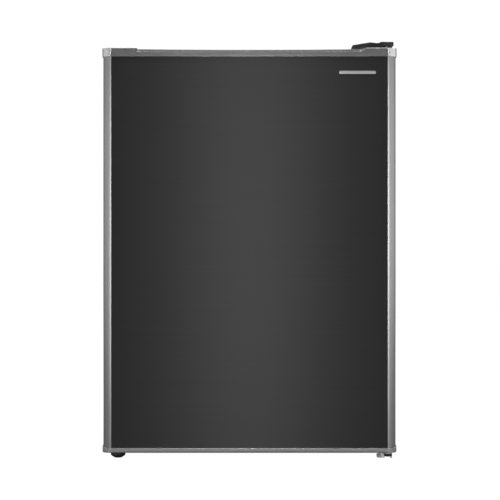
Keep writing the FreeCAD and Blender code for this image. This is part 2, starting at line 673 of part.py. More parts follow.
def door_edge(half, front):
    """The right-hand edge in plan: a crease, a flat curve that leans back, and a small round.
    Gives the shoulder's place across and back, the flat curve's radius and the side's start."""
    shoulder = half - s.edge_radius * (1.0 - math.sin(SHOULDER))
    arc = (shoulder - s.trim_inner) * (1.0 / (math.sin(SHOULDER) - math.sin(CREASE)))
    back = front + arc * (math.cos(CREASE) - math.cos(SHOULDER))
    return shoulder, back, arc, back + s.edge_radius * math.cos(SHOULDER)


def door_outline(half, front):
    """Plan of a cap: the flat front, both curved edges and the square rear."""
    shoulder, back, arc, side = door_edge(half, front)
    return [(s.trim_inner, front), (shoulder, back, arc), (half, side, s.edge_radius),
            (half, door_back), (-half, door_back), (-half, side),
            (-shoulder, back, s.edge_radius), (-s.trim_inner, front, arc)]


def door_skin():
    """The flat front sheet of the door."""
    node(box("skin", (-s.skin_half, s.skin_half), (skin_front, skin_back), (low_seam, high_seam)),
         "door_skin")


def door_trims():
    """Extruded edge strips that wrap the two vertical edges of the door."""
    half, inner = s.trim_half, s.trim_half - s.trim_wall
    front = door_front + s.trim_set_back
    shoulder, back, arc, side = door_edge(half, front)
    trim = slab("edge_trim", "XY", low_seam, high_seam - low_seam, [
        (s.trim_inner, front), (shoulder, back, arc), (half, side, s.edge_radius),
        (half, door_back), (inner, door_back), (inner, side), (inner - 1.3, back + 1.5),
        (s.trim_inner + 2.2, skin_front + 1.1), (s.trim_inner + 2.2, skin_front),
        (s.trim_inner, skin_front)])
    node(trim, "right_edge_trim")
    node(mirrored("left_trim", trim), "left_edge_trim")


def pocket_plan(grow):
    """Plan of the finger pocket, grown outwards by a wall: straight lip, bowed rear wall."""
    half = s.pocket_half + grow
    side = s.pocket_side + grow
    front = s.pocket_front - (0.8 if grow else 0.0)
    return [(half, front), (half, side), (-half, side, s.pocket_arc), (-half, front)]


def cap_inside(wall):
    """Plan of the room inside a cap, a wall's thickness in from its outline."""
    shoulder, back, _, side = door_edge(s.cap_half, door_front)
    half = s.cap_half - wall
    right = [(s.trim_inner, door_front + wall), (shoulder - wall * 0.7, back + wall * 0.8),
             (half, side + 0.5), (half, door_back - wall)]
    return right + [(-x, y) for x, y in reversed(right)]


def soft_rim(name, cap, rim, inward, radius):
    """Rounds a cap's rim along its front and down its sides; inward is 1 up or -1 down."""
    half, deep, turn = s.cap_half, rim + 20.0 * inward, radius * inward
    front = [(door_back + 1.0, rim), (door_back + 1.0, deep), (door_front, deep),
             (door_front, rim + turn), (door_front + radius, rim, turn)]
    side = [(half - radius, rim), (half, rim + turn, turn), (half, deep), (-half, deep),
            (-half, rim + turn), (-(half - radius), rim, turn)]
    along_front = common(name + "_front", cap, slab(
        name + "_front_form", "YZ", -(half + 1.0), half * 2.0 + 2.0, front))
    return common(name, along_front, slab(
        name + "_side_form", "XZ", door_front - 1.0, s.door_thickness + 2.0, side))


def top_cap():
    """The moulded top cap with the finger pocket, its lip and the hinge boss."""
    wall = s.cap_wall
    outer = slab("top_cap_outer", "XY", high_seam, s.top_cap_height,
                 door_outline(s.cap_half, door_front))
    outer_edge = soft_rim("top_cap_edge", outer, s.door_top, -1.0, 1.0)
    hollow = slab("top_cap_hollow", "XY", high_seam - 1.0, s.top_cap_height - wall + 1.0,
                  cap_inside(wall))
    shell = cut("top_cap_shell", outer_edge, hollow)
    tub = slab("pocket_tub", "XY", s.pocket_floor - s.pocket_wall,
               s.door_top - s.pocket_floor + s.pocket_wall - 1.5, pocket_plan(s.pocket_wall))
    boss = rod("top_boss", s.hinge_right, s.hinge_line, high_seam, 8.0, s.top_cap_height - 1.0)
    cavity = slab("pocket_cavity", "XY", s.pocket_floor, 40.0, pocket_plan(0.0))
    cavity_round = rounded("pocket_cavity_round", cavity, 3.0,
                           lambda e: along("z", lambda p: p.y > -225.0)(e)
                           or level(s.pocket_floor)(e))
    lip_top = s.door_top - s.lip_drop
    slope = s.pocket_half + s.lip_slope
    lip_cut = slab("lip_cut", "XZ", door_front - 2.0, 6.0, [
        (s.pocket_half, lip_top), (slope, s.door_top), (slope, s.door_top + 3.0),
        (-slope, s.door_top + 3.0), (-slope, s.door_top), (-s.pocket_half, lip_top)])
    bore = rod("top_bore", s.hinge_right, s.hinge_line, high_seam - 2.0, s.bush_radius, 20.0)
    node(cut("top_cap_cut", fuse("top_cap_solid", shell, tub, boss), cavity_round, lip_cut, bore),
         "door_top_cap")


def bottom_cap():
    """The moulded bottom cap: rounded underneath, with a small ear up each side."""
    wall = s.cap_wall
    outer = slab("bottom_cap_outer", "XY", s.door_bottom, s.bottom_cap_height,
                 door_outline(s.cap_half, door_front))
    outer_edge = soft_rim("bottom_cap_edge", outer, s.door_bottom, 1.0, 2.6)
    hollow = slab("bottom_cap_hollow", "XY", s.door_bottom + wall, 20.0, cap_inside(wall + 1.2))
    ear_front = door_edge(s.cap_half, door_front)[3]
    ear = slab("bottom_ear", "XZ", ear_front, door_back - 1.0 - ear_front,
               [(s.trim_half, low_seam - 1.0), (s.cap_half, low_seam - 1.0),
                (s.cap_half, low_seam + 2.0), (s.trim_half, low_seam + 6.0)])
    boss = rod("bottom_boss", s.hinge_right, s.hinge_line, s.door_bottom + 1.0, 8.0,
               s.bottom_cap_height - 1.0)
    bore = rod("bottom_bore", s.hinge_right, s.hinge_line, s.door_bottom - 2.0, s.bush_radius, 20.0)
    solid = fuse("bottom_cap_solid", cut("bottom_cap_shell", outer_edge, hollow), ear,
                 mirrored("bottom_ear_left", ear), boss)
    node(cut("bottom_cap_cut", solid, bore), "door_bottom_cap")


def hinge_bushes():
    """Plain nylon bushes in the caps, in which the two pins turn."""
    inner = s.pin_radius + s.bush_gap
    top = turned("top_bush", [
        (s.bush_radius, 0.0), (s.bush_radius, s.top_cap_height), (inner, s.top_cap_height),
        (inner, 0.0)], s.hinge_right, s.hinge_line, high_seam)
    low = turned("bottom_bush", [
        (s.bush_radius, 0.0), (s.bush_radius, s.bottom_cap_height),
        (inner, s.bottom_cap_height), (inner, 0.0)], s.hinge_right, s.hinge_line, s.door_bottom)
    node(group("bushes", top, low), "hinge_bushes")


def dike_box(name, wall, side):
    """One of the two upright ridges of the door liner that carry the racks."""
    span = (dike_inner + wall, s.bulge_half - wall)
    x = span if side > 0 else (-span[1], -span[0])
    return box(name, x, (bulge_face - 3.0 - wall, dike_face - wall),
               (s.bulge_low + wall, s.dike_top - wall))


def door_liner():
    """The white inner panel: a flat rim, a shallow bulge and two ridges for the racks."""
    wall = s.liner_wall
    half = s.trim_half - s.trim_wall - 0.1
    rim = box("door_liner_rim", (-half, half), (door_back - wall, door_back),
              (low_seam + 0.2, high_seam - 0.2))

    def form(name, t, rear):
        bulge = box(name + "_bulge", (-(s.bulge_half - t), s.bulge_half - t),
                    (rear, bulge_face - t), (s.bulge_low + t, s.bulge_high - t))
        return fuse(name, bulge, dike_box(name + "_right", t, 1), dike_box(name + "_left", t, -1))

    raised = rounded("door_liner_form", form("door_liner_raised", Size(0.0, "0.0"),
                                             door_back - wall), 3.0,
                     lambda e: e.CenterOfMass.y > number(door_back) + 1.0
                     and not inside_corner(e))
    hollow = form("door_liner_hollow", wall, door_back - wall - 1.0)
    node(cut("door_liner_cut", fuse("door_liner_solid", rim, raised), hollow), "door_liner")


def inside_corner(edge):
    """The two upright edges where a ridge meets the flat of the bulge."""
    x = abs(edge.CenterOfMass.x)
    return near(edge.CenterOfMass.y, bulge_face) and x < number(s.bulge_half) - 1.0


def door_insulation():
    """Foam that fills the door, the bulge and the ridges, cut away round the finger pocket."""
    front = skin_back
    half = s.trim_half - s.trim_wall - 0.3
    shoulder, back, _, side = door_edge(s.trim_half, door_front)
    rear = door_back - s.liner_wall
    core = slab("door_core", "XY", low_seam + 0.5, high_seam - low_seam - 1.0, [
        (s.trim_inner, front), (shoulder - 1.6, back + 2.4), (half, side + 0.4), (half, rear),
        (-half, rear), (-half, side + 0.4), (-(shoulder - 1.6), back + 2.4),
        (-s.trim_inner, front)])
    wall = s.liner_wall + 0.1
    bulge = box("door_core_bulge", (-(s.bulge_half - wall), s.bulge_half - wall),
                (rear - 2.0, bulge_face - wall), (s.bulge_low + wall, s.bulge_high - wall))
    room = slab("door_core_room", "XY", s.pocket_floor - s.pocket_wall - 0.2, 60.0,
                pocket_plan(s.pocket_wall + 0.2))
    node(cut("door_core_cut", fuse("door_core_solid", core, bulge,
                                   dike_box("core_right", wall, 1),
                                   dike_box("core_left", wall, -1)), room), "door_insulation")


def frame_ring(name, half, low, high, width, y):
    outer = box(name + "_outer", (-half, half), y, (low, high))
    inner = box(name + "_inner", (-(half - width), half - width), (y[0] - 1.0, y[1] + 1.0),
                (low + width, high - width))
    return cut(name, outer, inner)


def gasket():
    """The magnetic door seal: a hollow vinyl frame round a flexible magnet."""
    back = s.cabinet_front - s.gasket_gap
    ring = frame_ring("seal", s.gasket_half, s.gasket_low, s.gasket_high, s.gasket_width,
                      (door_back + 0.05, back))
    channel = frame_ring("seal_channel", s.gasket_half - 3.0, s.gasket_low + 3.0,
                         s.gasket_high - 3.0, Size(7.0, "7.0"), (back - 4.6, back - 1.0))
    soft = rounded("seal_round", ring, 2.4, lambda e: near(e.CenterOfMass.y, back))
    node(cut("seal_hollow", soft, channel), "door_gasket")
    magnet = frame_ring("magnet", s.gasket_half - 3.2, s.gasket_low + 3.2, s.gasket_high - 3.2,
                        Size(6.6, "6.6"), (back - 4.4, back - 1.2))
    node(magnet, "gasket_magnet")


def rack(name, low, high, label):
    """An open-topped door rack that sits between the two ridges of the door liner."""
    back = bulge_face + 0.2
    wall = s.bin_wall
    outer = box(name + "_outer", (-s.rack_half, s.rack_half), (back, s.rack_front), (low, high))
    outer_round = rounded(name + "_round", outer, 8.0,
                          lambda e: along("z", lambda p: near(p.y, s.rack_front))(e)
                          or along("x", lambda p: near(p.y, s.rack_front) and near(p.z, low))(e))
    inner = box(name + "_inner", (-(s.rack_half - wall), s.rack_half - wall),
                (back + wall, s.rack_front - wall), (Size(low, repr(low)) + wall, high + 5.0))
    inner_round = rounded(name + "_inner_round", inner, 6.0,
                          lambda e: along("z", lambda p: p.y > -110.0)(e)
                          or along("x", lambda p: p.y > -110.0 and p.z < high)(e))
    scoop = slab(name + "_scoop", "XZ", s.rack_front - 12.0, 14.0, [
        (70.0, high + 1.0), (-70.0, high + 1.0), (-82.0, high + 1.0), (-70.0, high - 12.0, 14.0),
        (70.0, high - 12.0), (82.0, high + 1.0, 14.0)])
    node(cut(name, outer_round, inner_round, scoop), label)


def badge():
    """A small plain metal bar near the top right of the door."""
    bar = box("badge_bar", (136.0, 192.0), (skin_front - 0.8, skin_front), (592.2, 597.0))
    node(rounded("badge_round", bar, 2.2, along("y")), "door_badge")


# ---------------------------------------------------------------- freezer compartment

def evaporator():
    """The freezer box: a folded roll-bond aluminium plate, open at the front."""
    wall = s.plate_aluminium
    left, right = s.freezer_left, s.freezer_right
    outer = box("freezer_outer", (left, right), (s.freezer_front, s.freezer_back),
                (s.freezer_floor, s.room_ceiling))
    inner = box("freezer_inner", (left + wall, right - wall),
                (s.freezer_front - 1.0, s.freezer_back - wall),
                (s.freezer_floor + wall, s.room_ceiling - wall))
    node(cut("freezer_box", outer, inner), "evaporator_box")


def freezer_frame():
    """The plastic surround of the freezer opening, with two ears that hold the flap's pins."""
    left, right, low, high = s.frame_left, s.frame_right, s.frame_low, s.frame_high
    ring = cut("surround", box("surround_outer", (left, right), (s.frame_front, s.freezer_front),
                               (low, high)),
               box("surround_inner", (s.freezer_left + 4.0, s.freezer_right - 4.0),
                   (s.frame_front - 1.0, s.freezer_front + 1.0),
                   (s.freezer_floor + 4.0, high - 6.0)))
    ears = []
    for i, x in enumerate(((left, left + s.ear_width), (right - s.ear_width, right))):
        ears.append(slab("ear%d" % i, "YZ", x[0], s.ear_width, [
            (s.frame_front + 1.0, low), (s.frame_front + 1.0, low + 24.0),
            (s.frame_front - 4.0, low + 24.0), (s.frame_front - 10.0, low + 18.0, 6.0),
            (s.frame_front - 10.0, low + 4.0), (s.frame_front - 6.0, low, 4.0)],
            holes=[(s.flap_axis_line, s.flap_axis_height, s.flap_pin + s.thread_gap)]))
    node(fuse("surround_with_ears", ring, *ears), "freezer_surround")


def freezer_flap():
    """The flap that tips down on two moulded pins; ribbed, with a finger lip along its top."""
    half = s.flap_half_thickness
    y, z = s.flap_axis_line, s.flap_axis_height
    left = s.frame_left + s.ear_width + 0.5
    right = s.frame_right - s.ear_width - 0.5
    panel = slab("flap_panel", "YZ", left, right - left, [
        (y + half, z, half), (y + half, s.flap_top), (y - half + 2.0, s.flap_top),
        (y - half, s.flap_top - 2.0, 2.0), (y - half, z), (y, z - half, half)])
    recess = box("flap_recess", (left + 12.0, right - 12.0), (y - half - 1.0, y - half + 2.0),
                 (z + 14.0, s.flap_top - 22.0))
    rear = box("flap_hollow", (left + 3.0, right - 3.0), (y - 0.2, y + half + 1.0),
               (z + 8.0, s.flap_top - 4.0))
    ribs = [box("flap_rib%d" % i, (left + 30.0 + 32.0 * i, left + 33.0 + 32.0 * i),
                (y - half + 0.6, y - half + 2.5), (z + 14.0, s.flap_top - 22.0)) for i in range(8)]
    grip = rod("flap_grip", -76.5, y - half - 6.0, s.flap_top - 10.0, 7.0, 100.0, along="x")
    pins = rod("flap_pins", left - 4.0, y, z, s.flap_pin, right - left + 8.0, along="x")
    node(fuse("flap_with_pins", cut("flap_cut", panel, recess, rear, grip), *ribs, pins),
         "freezer_flap")


def drip_tray():
    """The shallow tray under the freezer and the two rails that it slides on."""
    low, high, wall = s.drip_base, s.drip_top, s.tray_wall
    front, back = Size(-66.5, "(-66.5)"), s.freezer_back - 2.0
    tub = box("drip_tub", (s.drip_left, s.drip_right), (front, back), (low, high))
    lugs = box("drip_lugs", (s.drip_left - 8.0, s.drip_right + 8.0), (front, back),
               (high - 5.0, high - 3.0))
    grip = box("drip_grip", (-86.0, 34.0), (front - 6.0, front + 1.0), (high - 3.0, high))
    hollow = box("drip_hollow", (s.drip_left + wall, s.drip_right - wall),
                 (front + wall, back - wall), (low + wall, high + 1.0))
    hollow_round = rounded("drip_hollow_round", hollow, 4.0,
                           lambda e: along("z")(e) or level(low + wall)(e))
    solid = fuse("drip_solid", tub, lugs, grip)
    node(cut("drip_cut", solid, hollow_round), "drip_tray")

    rails = []
    for side, edge in ((-1.0, s.drip_left), (1.0, s.drip_right)):
        ledge = (edge - 9.5, edge - 1.5) if side < 0 else (edge + 1.5, edge + 9.5)
        web = (edge - 11.0, edge - 9.5) if side < 0 else (edge + 9.5, edge + 11.0)
        run = (s.freezer_front, s.freezer_back)
        rails.append(fuse("rail%d" % side,
                          box("rail_ledge%d" % side, ledge, run, (high - 7.4, high - 5.4)),
                          box("rail_web%d" % side, web, run, (high - 7.4, s.freezer_floor))))
    node(group("rails", *rails), "drip_tray_rails")


# ---------------------------------------------------------------- thermostat

def thermostat():
    """Housing, switch body with its sensing tube, and the dial that turns it."""
    left, right = s.housing_left, s.housing_right
    front, back, low = s.housing_front, s.housing_back, s.housing_low
    outer = box("housing_outer", (left, right), (front, back), (low, s.room_ceiling))
    outer_round = rounded("housing_round", outer, 5.0,
                          lambda e: along("z", lambda p: near(p.y, front))(e)
                          or level(low)(e))
    hollow = box("housing_hollow", (left + 2.0, right - 2.0), (front + 2.0, back + 1.0),
                 (low + 2.0, s.room_ceiling - 2.0))
    hole = rod("housing_hole", s.dial_side, front - 1.0, s.dial_height, 3.4, 4.0, along="y")
    well = rod("housing_well", s.dial_side, front - 1.0, s.dial_height, s.dial_radius + 1.5, 1.8,
               along="y")
    node(cut("housing_cut", outer_round, hollow, hole, well), "thermostat_housing")

    body = box("switch_box", (s.dial_side - 17.0, s.dial_side + 17.0), (front + 2.0, front + 34.0),
               (s.dial_height - 15.0, s.dial_height + 15.0))
    bore = rod("switch_bore", s.dial_side, front + 1.0, s.dial_height,
               s.spindle_radius + s.thread_gap, 12.0, along="y")
    switch = cut("switch", rounded("switch_round", body, 2.0, along("y")), bore)
    bulb = tube("sensing_tube", [
        (s.dial_side - 8.0, front + 33.0, 540.0), (s.dial_side - 8.0, 72.0, 540.0),
        (s.freezer_right + 1.6, 92.0, 540.0), (s.freezer_right + 1.6, 140.0, 540.0)],
        [10.0, 10.0], 1.3)
    node(fuse("switch_with_tube", switch, bulb), "thermostat_switch")

    skirt = turned("dial_skirt", [
        (s.dial_radius, 0.0), (s.dial_radius - 0.8, 4.6), (13.2, 6.0), (12.4, 14.0),
        (11.0, 15.4, 1.8), (0.0, 15.4), (0.0, 0.0)],
        s.dial_side, front + 0.4, s.dial_height)
    skirt.Placement = Placement(skirt.Placement.Base, Rotation(Vector(1, 0, 0), 90))
    move(skirt, s.dial_side, front + 0.4, s.dial_height)
    grip = box("dial_grip", (s.dial_side - 2.4, s.dial_side + 2.4), (front - 17.5, front - 5.0),
               (s.dial_height - 12.0, s.dial_height + 12.0))
    grip_round = rounded("dial_grip_round", grip, 1.6, lambda e: e.CenterOfMass.y < -60.0)
    spindle = rod("dial_spindle", s.dial_side, front, s.dial_height, s.spindle_radius, 12.0,
                  along="y")
    node(fuse("dial", skirt, grip_round, spindle), "thermostat_dial")


# ---------------------------------------------------------------- shelves and crisper

def shelf(prefix, height):
    """A tempered-glass shelf with a front and a rear edge moulding."""
    top = height + s.glass_thickness
    glass = box(prefix + "_pane", (-s.shelf_half, s.shelf_half), (s.shelf_front, s.shelf_back),
                (height, top))
    node(glass, prefix + "_glass")
    strips = []
    for name, span, gap in (
            ("front", (s.shelf_front - 3.0, s.shelf_front + 8.0), (s.shelf_front, s.shelf_front + 9.0)),
            ("rear", (s.shelf_back - 8.0, s.shelf_back + 3.0), (s.shelf_back - 9.0, s.shelf_back))):
        strip = box("%s_%s" % (prefix, name), (-s.shelf_half, s.shelf_half), span,
                    (height - 3.0, top + 3.0))
        soft = rounded("%s_%s_round" % (prefix, name), strip, 2.0, along("x"))
        slot = box("%s_%s_slot" % (prefix, name), (-s.shelf_half - 1.0, s.shelf_half + 1.0), gap,
                   (height, top))
        strips.append(cut("%s_%s_strip" % (prefix, name), soft, slot))
    node(group(prefix + "_strips", *strips), prefix + "_trim")


def crisper():
    """The vegetable drawer in front of the compressor step."""
    half, wall = s.crisper_half, s.bin_wall
    front, back, low, high = s.crisper_front, s.crisper_back, s.crisper_base, s.crisper_top
    outer = box("crisper_outer", (-half, half), (front, back), (low, high))
    outer_round = rounded("crisper_round", outer, 8.0,
                          lambda e: along("z")(e) or level(low)(e))
    inner = box("crisper_inner", (-(half - wall), half - wall), (front + wall, back - wall),
                (low + wall, high + 5.0))
    inner_round = rounded("crisper_inner_round", inner, 6.0,
                          lambda e: (along("z")(e) or level(low + wall)(e)))
    notch = slab("crisper_notch", "XZ", front - 2.0, 8.0, [
        (60.0, high + 1.0), (-60.0, high + 1.0), (-76.0, high + 1.0), (-60.0, high - 16.0, 18.0),
        (60.0, high - 16.0), (76.0, high + 1.0, 18.0)])
    node(cut("crisper_cut", outer_round, inner_round, notch), "crisper_drawer")


# ---------------------------------------------------------------- refrigeration plant

def compressor_tray():
    """The steel cross-tray at the back that carries the compressor."""
    low = s.cabinet_bottom
    half = s.cabinet_half - 1.2
    floor = box("tray_floor", (-half, half), (s.bay_front + 0.1, s.cabinet_back), (low, low + 2.0))
    lip = box("tray_lip", (-half, half), (s.cabinet_back - 1.6, s.cabinet_back), (low, low + 34.0))
    holes = [rod("tray_hole%d" % i, x, y, low - 1.0, 3.1, 4.0)
             for i, (x, y) in enumerate(compressor_bolts())]
    cord_hole = rod("tray_cord_hole", 170.0, s.cabinet_back - 3.0, low + 18.0, 6.5, 6.0, along="y")
    vents = [box("tray_vent%d" % i, (60.0 + 14.0 * i, 66.0 + 14.0 * i), (80.0, 150.0),
                 (low - 1.0, low + 3.0)) for i in range(7)]
    node(cut("tray_cut", fuse("tray_solid", floor, lip), *holes, cord_hole, *vents),
         "compressor_tray")


def compressor_bolts():
    return [(s.compressor_side + dx, s.compressor_line + dy)
            for dx in (-62.0, 62.0) for dy in (-46.0, 46.0)]


def compressor():
    """The hermetic compressor: a domed shell with its weld seam, legs and stubs, on grommets."""
    x, y, low = s.compressor_side, s.compressor_line, s.compressor_base
    r, high = s.compressor_radius, s.compressor_high
    shell = turned("shell", [
        (r - 18.0, 0.0), (r, 22.0, 24.0), (r, 62.0), (r + 2.0, 63.0), (r + 2.0, 66.5), (r, 67.5),
        (r, high - 30.0), (r - 22.0, high - 6.0, 32.0), (0.0, high, 170.0), (0.0, 0.0)], x, y, low)
    legs = box("legs_plate", (x - 72.0, x + 72.0), (y - 56.0, y + 56.0), (low - 2.0, low + 1.0))
    legs_round = rounded("legs_round", legs, 10.0, along("z"))
    waist = [rod("legs_waist%d" % i, x, line, low - 3.0, 34.0, 5.0)
             for i, line in enumerate((y - 76.0, y + 76.0))]
    holes = [rod("legs_hole%d" % i, hx, hy, low - 4.0, 5.2, 8.0)
             for i, (hx, hy) in enumerate(compressor_bolts())]
    stub = rod("process_stub", x - 20.0, y - 20.0, low + high - 12.0, 3.2, 22.0)
    node(fuse("compressor_welded", shell, cut("legs", legs_round, *waist, *holes), stub),
         "compressor")

    seat = s.cabinet_bottom + 2.0
    grommets, bolts = [], []
    for i, (bx, by) in enumerate(compressor_bolts()):
        grommets.append(turned("grommet%d" % i, [
            (9.0, 0.0), (9.0, low - seat - 2.1), (4.9, low - seat - 2.1), (4.9, low - seat + 1.2),
            (8.0, low - seat + 1.2), (8.0, low - seat + 4.0), (3.2, low - seat + 4.0),
            (3.2, 0.0)], bx, by, seat))
        bolts.append(fuse("mount_bolt%d" % i,
                          rod("mount_shank%d" % i, bx, by, seat - 4.0, 3.0, 20.5),
                          rod("mount_washer%d" % i, bx, by, low + 4.1, 8.0, 1.2),
                          rod("mount_nut%d" % i, bx, by, low + 5.0, 5.0, 4.0)))
    node(group("grommets", *grommets), "compressor_grommets")
    node(group("mount_bolts", *bolts), "compressor_bolts")

    cover = box("starter_box", (x + r + 2.2, x + r + 36.0), (y - 23.0, y + 23.0),
                (low + 26.0, low + 84.0))
    node(rounded("starter_round", cover, 4.0,
                 lambda e: e.CenterOfMass.x > number(x + r) + 4.0), "starter_cover")


def pipework():
    """Suction, discharge, filter drier and capillary of the sealed circuit."""
    x, y, low = s.compressor_side, s.compressor_line, s.compressor_base
    roof = s.bay_top - s.sheet_steel
    side = x - s.compressor_radius
    node(tube("suction", [(side, y, low + 80.0), (side - 28.0, y, low + 80.0),
                          (side - 28.0, y, roof)], [12.0], 3.2), "suction_pipe")
    line = s.coil_line
    node(tube("discharge", [
        (x, y + s.compressor_radius, low + 40.0), (x, line, low + 40.0),
        (-s.coil_half - 8.0, line, low + 40.0), (-s.coil_half - 8.0, line, s.coil_low),
        (-s.coil_half + 8.0, line, s.coil_low)], [10.0, 12.0, 10.0], s.tube_radius),
        "discharge_pipe")
    drier_x, drier_y = 150.0, 182.0
    drier = turned("drier", [
        (2.7, 0.0), (8.0, 12.0), (8.0, 62.0), (3.0, 74.0), (0.0, 74.0), (0.0, 0.0)],
        drier_x, drier_y, 92.0)
    node(drier, "filter_drier")
    node(tube("capillary", [
        (drier_x, drier_y, 92.0), (drier_x, drier_y, 74.0), (drier_x - 30.0, drier_y, 74.0),
        (drier_x - 30.0, 150.0, 74.0), (drier_x - 30.0, 150.0, roof)],
        [6.0, 8.0, 8.0], 1.0), "capillary_tube")


def condenser():
    """The rear heat exchanger: one serpentine tube with upright wires on both faces."""
    line, half = number(s.coil_line), number(s.coil_half)
    radius = number(s.coil_pitch) / 2
    passes = 11
    edges = []
    for i in range(passes):
        z = number(s.coil_low) + i * number(s.coil_pitch)
        way = 1.0 if i % 2 == 0 else -1.0
        start = -half + 8.0 if i == 0 else -half * way
        edges.append(Part.LineSegment(Vector(start, line, z), Vector(half * way, line, z)).toShape())
        if i < passes - 1:
            edges.append(Part.Arc(Vector(half * way, line, z),
                                  Vector((half + radius) * way, line, z + radius),
                                  Vector(half * way, line, z + 2 * radius)).toShape())
    z = number(s.coil_low) + (passes - 1) * number(s.coil_pitch)
    drop = half + 30.0
    bend = 12.0
    edges.append(Part.LineSegment(Vector(half, line, z), Vector(drop - bend, line, z)).toShape())
    slant = bend * (1 - math.sqrt(0.5))
    edges.append(Part.Arc(Vector(drop - bend, line, z), Vector(drop - slant, line, z - slant),
                          Vector(drop, line, z - bend)).toShape())
    edges.append(Part.LineSegment(Vector(drop, line, z - bend), Vector(drop, line, 200.0)).toShape())
    path = Part.Wire(edges)
    ring = Part.Wire(Part.makeCircle(number(s.tube_radius), path.Vertexes[0].Point, Vector(1, 0, 0)))
    coil = doc.addObject("Part::Feature", "condenser_coil")
    coil.Shape = path.makePipeShell([ring], True, False)
    liquid_line = tube("liquid_line", [
        (drop, line, 200.0), (drop, line, 178.0), (150.0, 182.0, 178.0), (150.0, 182.0, 166.0)],
        [8.0, 8.0], s.tube_radius)
    node(fuse("condenser_circuit", coil, liquid_line), "condenser_tube")

    wires = []
    for face in (-1.0, 1.0):
        for i in range(-12, 13):
            wires.append(rod("wire%d_%d" % (i + 12, face), s.wire_pitch * i,
                             s.coil_line + (s.tube_radius + s.wire_radius + 0.05) * face,
                             s.coil_low - 9.0, s.wire_radius, 398.0))
    node(group("wires", *wires), "condenser_wires")

    clips = []
    for i, (side, height) in enumerate(((1.0, 270.0), (1.0, 560.0), (-1.0, 270.0), (-1.0, 560.0))):
        def span(low, high):
            return (low, high) if side > 0 else (-high, -low)
        clips.append(fuse(
            "clip%d" % i,
            box("clip_foot%d" % i, span(140.0, 164.0), (s.cabinet_back, s.cabinet_back + 1.2),
                (height, height + 14.0)),
            box("clip_web%d" % i, span(140.0, 141.2), (s.cabinet_back, s.coil_line - 4.1),
                (height, height + 14.0)),
            box("clip_tab%d" % i, span(136.0, 148.0), (s.coil_line - 5.3, s.coil_line - 4.1),
                (height, height + 14.0)),
            rod("clip_screw%d" % i, side * 154.0, s.cabinet_back + 1.0, height + 7.0, 4.0, 2.4,
                along="y")))
    node(group("clips", *clips), "condenser_clips")


def rear_details():
    """Two wall spacers and the bush that the supply cord passes through."""
    spacers = []
    for i, side in enumerate((1.0, -1.0)):
        x = (192.0, 212.0) if side > 0 else (-212.0, -192.0)
        block = box("spacer_block%d" % i, x, (s.cabinet_back, s.half_depth), (588.0, 612.0))
        soft = rounded("spacer_round%d" % i, block, 3.0,
                       lambda e: e.CenterOfMass.y > number(s.cabinet_back) + 1.0)
        spacers.append(soft)
    node(group("spacers", *spacers), "wall_spacers")

    bush = turned("gland", [
        (6.4, 0.0), (6.4, 4.0), (9.0, 4.0), (9.0, 6.0), (7.0, 10.0), (3.6, 10.0), (3.6, 0.0)],
        170.0, s.cabinet_back - 4.0, s.cabinet_bottom + 18.0, along_axis="y")
    node(bush, "cord_bush")


# ---------------------------------------------------------------- the assembly

cabinet_shell()
back_panel()
base_pan()
insulation()
liner()
top_hinge()
hinge_cover()
hinge_plugs()
bottom_hinge()
feet()
door_skin()
door_trims()
top_cap()
bottom_cap()
hinge_bushes()
door_liner()
door_insulation()
gasket()
rack("bottle", 82.0, 172.0, "bottle_rack")
rack("middle", 236.0, 292.0, "middle_rack")
rack("upper", 362.0, 418.0, "upper_rack")
badge()
evaporator()
freezer_frame()
freezer_flap()
drip_tray()
thermostat()
shelf("upper_shelf", s.upper_shelf)
shelf("lower_shelf", s.lower_shelf)
crisper()
compressor_tray()
compressor()
pipework()
condenser()
rear_details()

doc.recompute()
for obj in doc.Objects:
    if "Invalid" in obj.State or "Error" in obj.State:
        raise RuntimeError("%s (%s) is %s" % (obj.Name, obj.Label, obj.State))
for obj in nodes:
    if obj.Shape.isNull() or not obj.Shape.isValid() or not obj.Shape.Solids:
        raise RuntimeError(obj.Label + " has no valid solid")

os.makedirs("parts", exist_ok=True)
for obj in nodes:
    obj.Shape.exportStep(os.path.join("parts", obj.Label + ".step"))
print(len(nodes), "nodes written")
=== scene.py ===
import json
from math import cos, pi, radians, sin

import bmesh
import bpy
from mathutils import Matrix, Vector

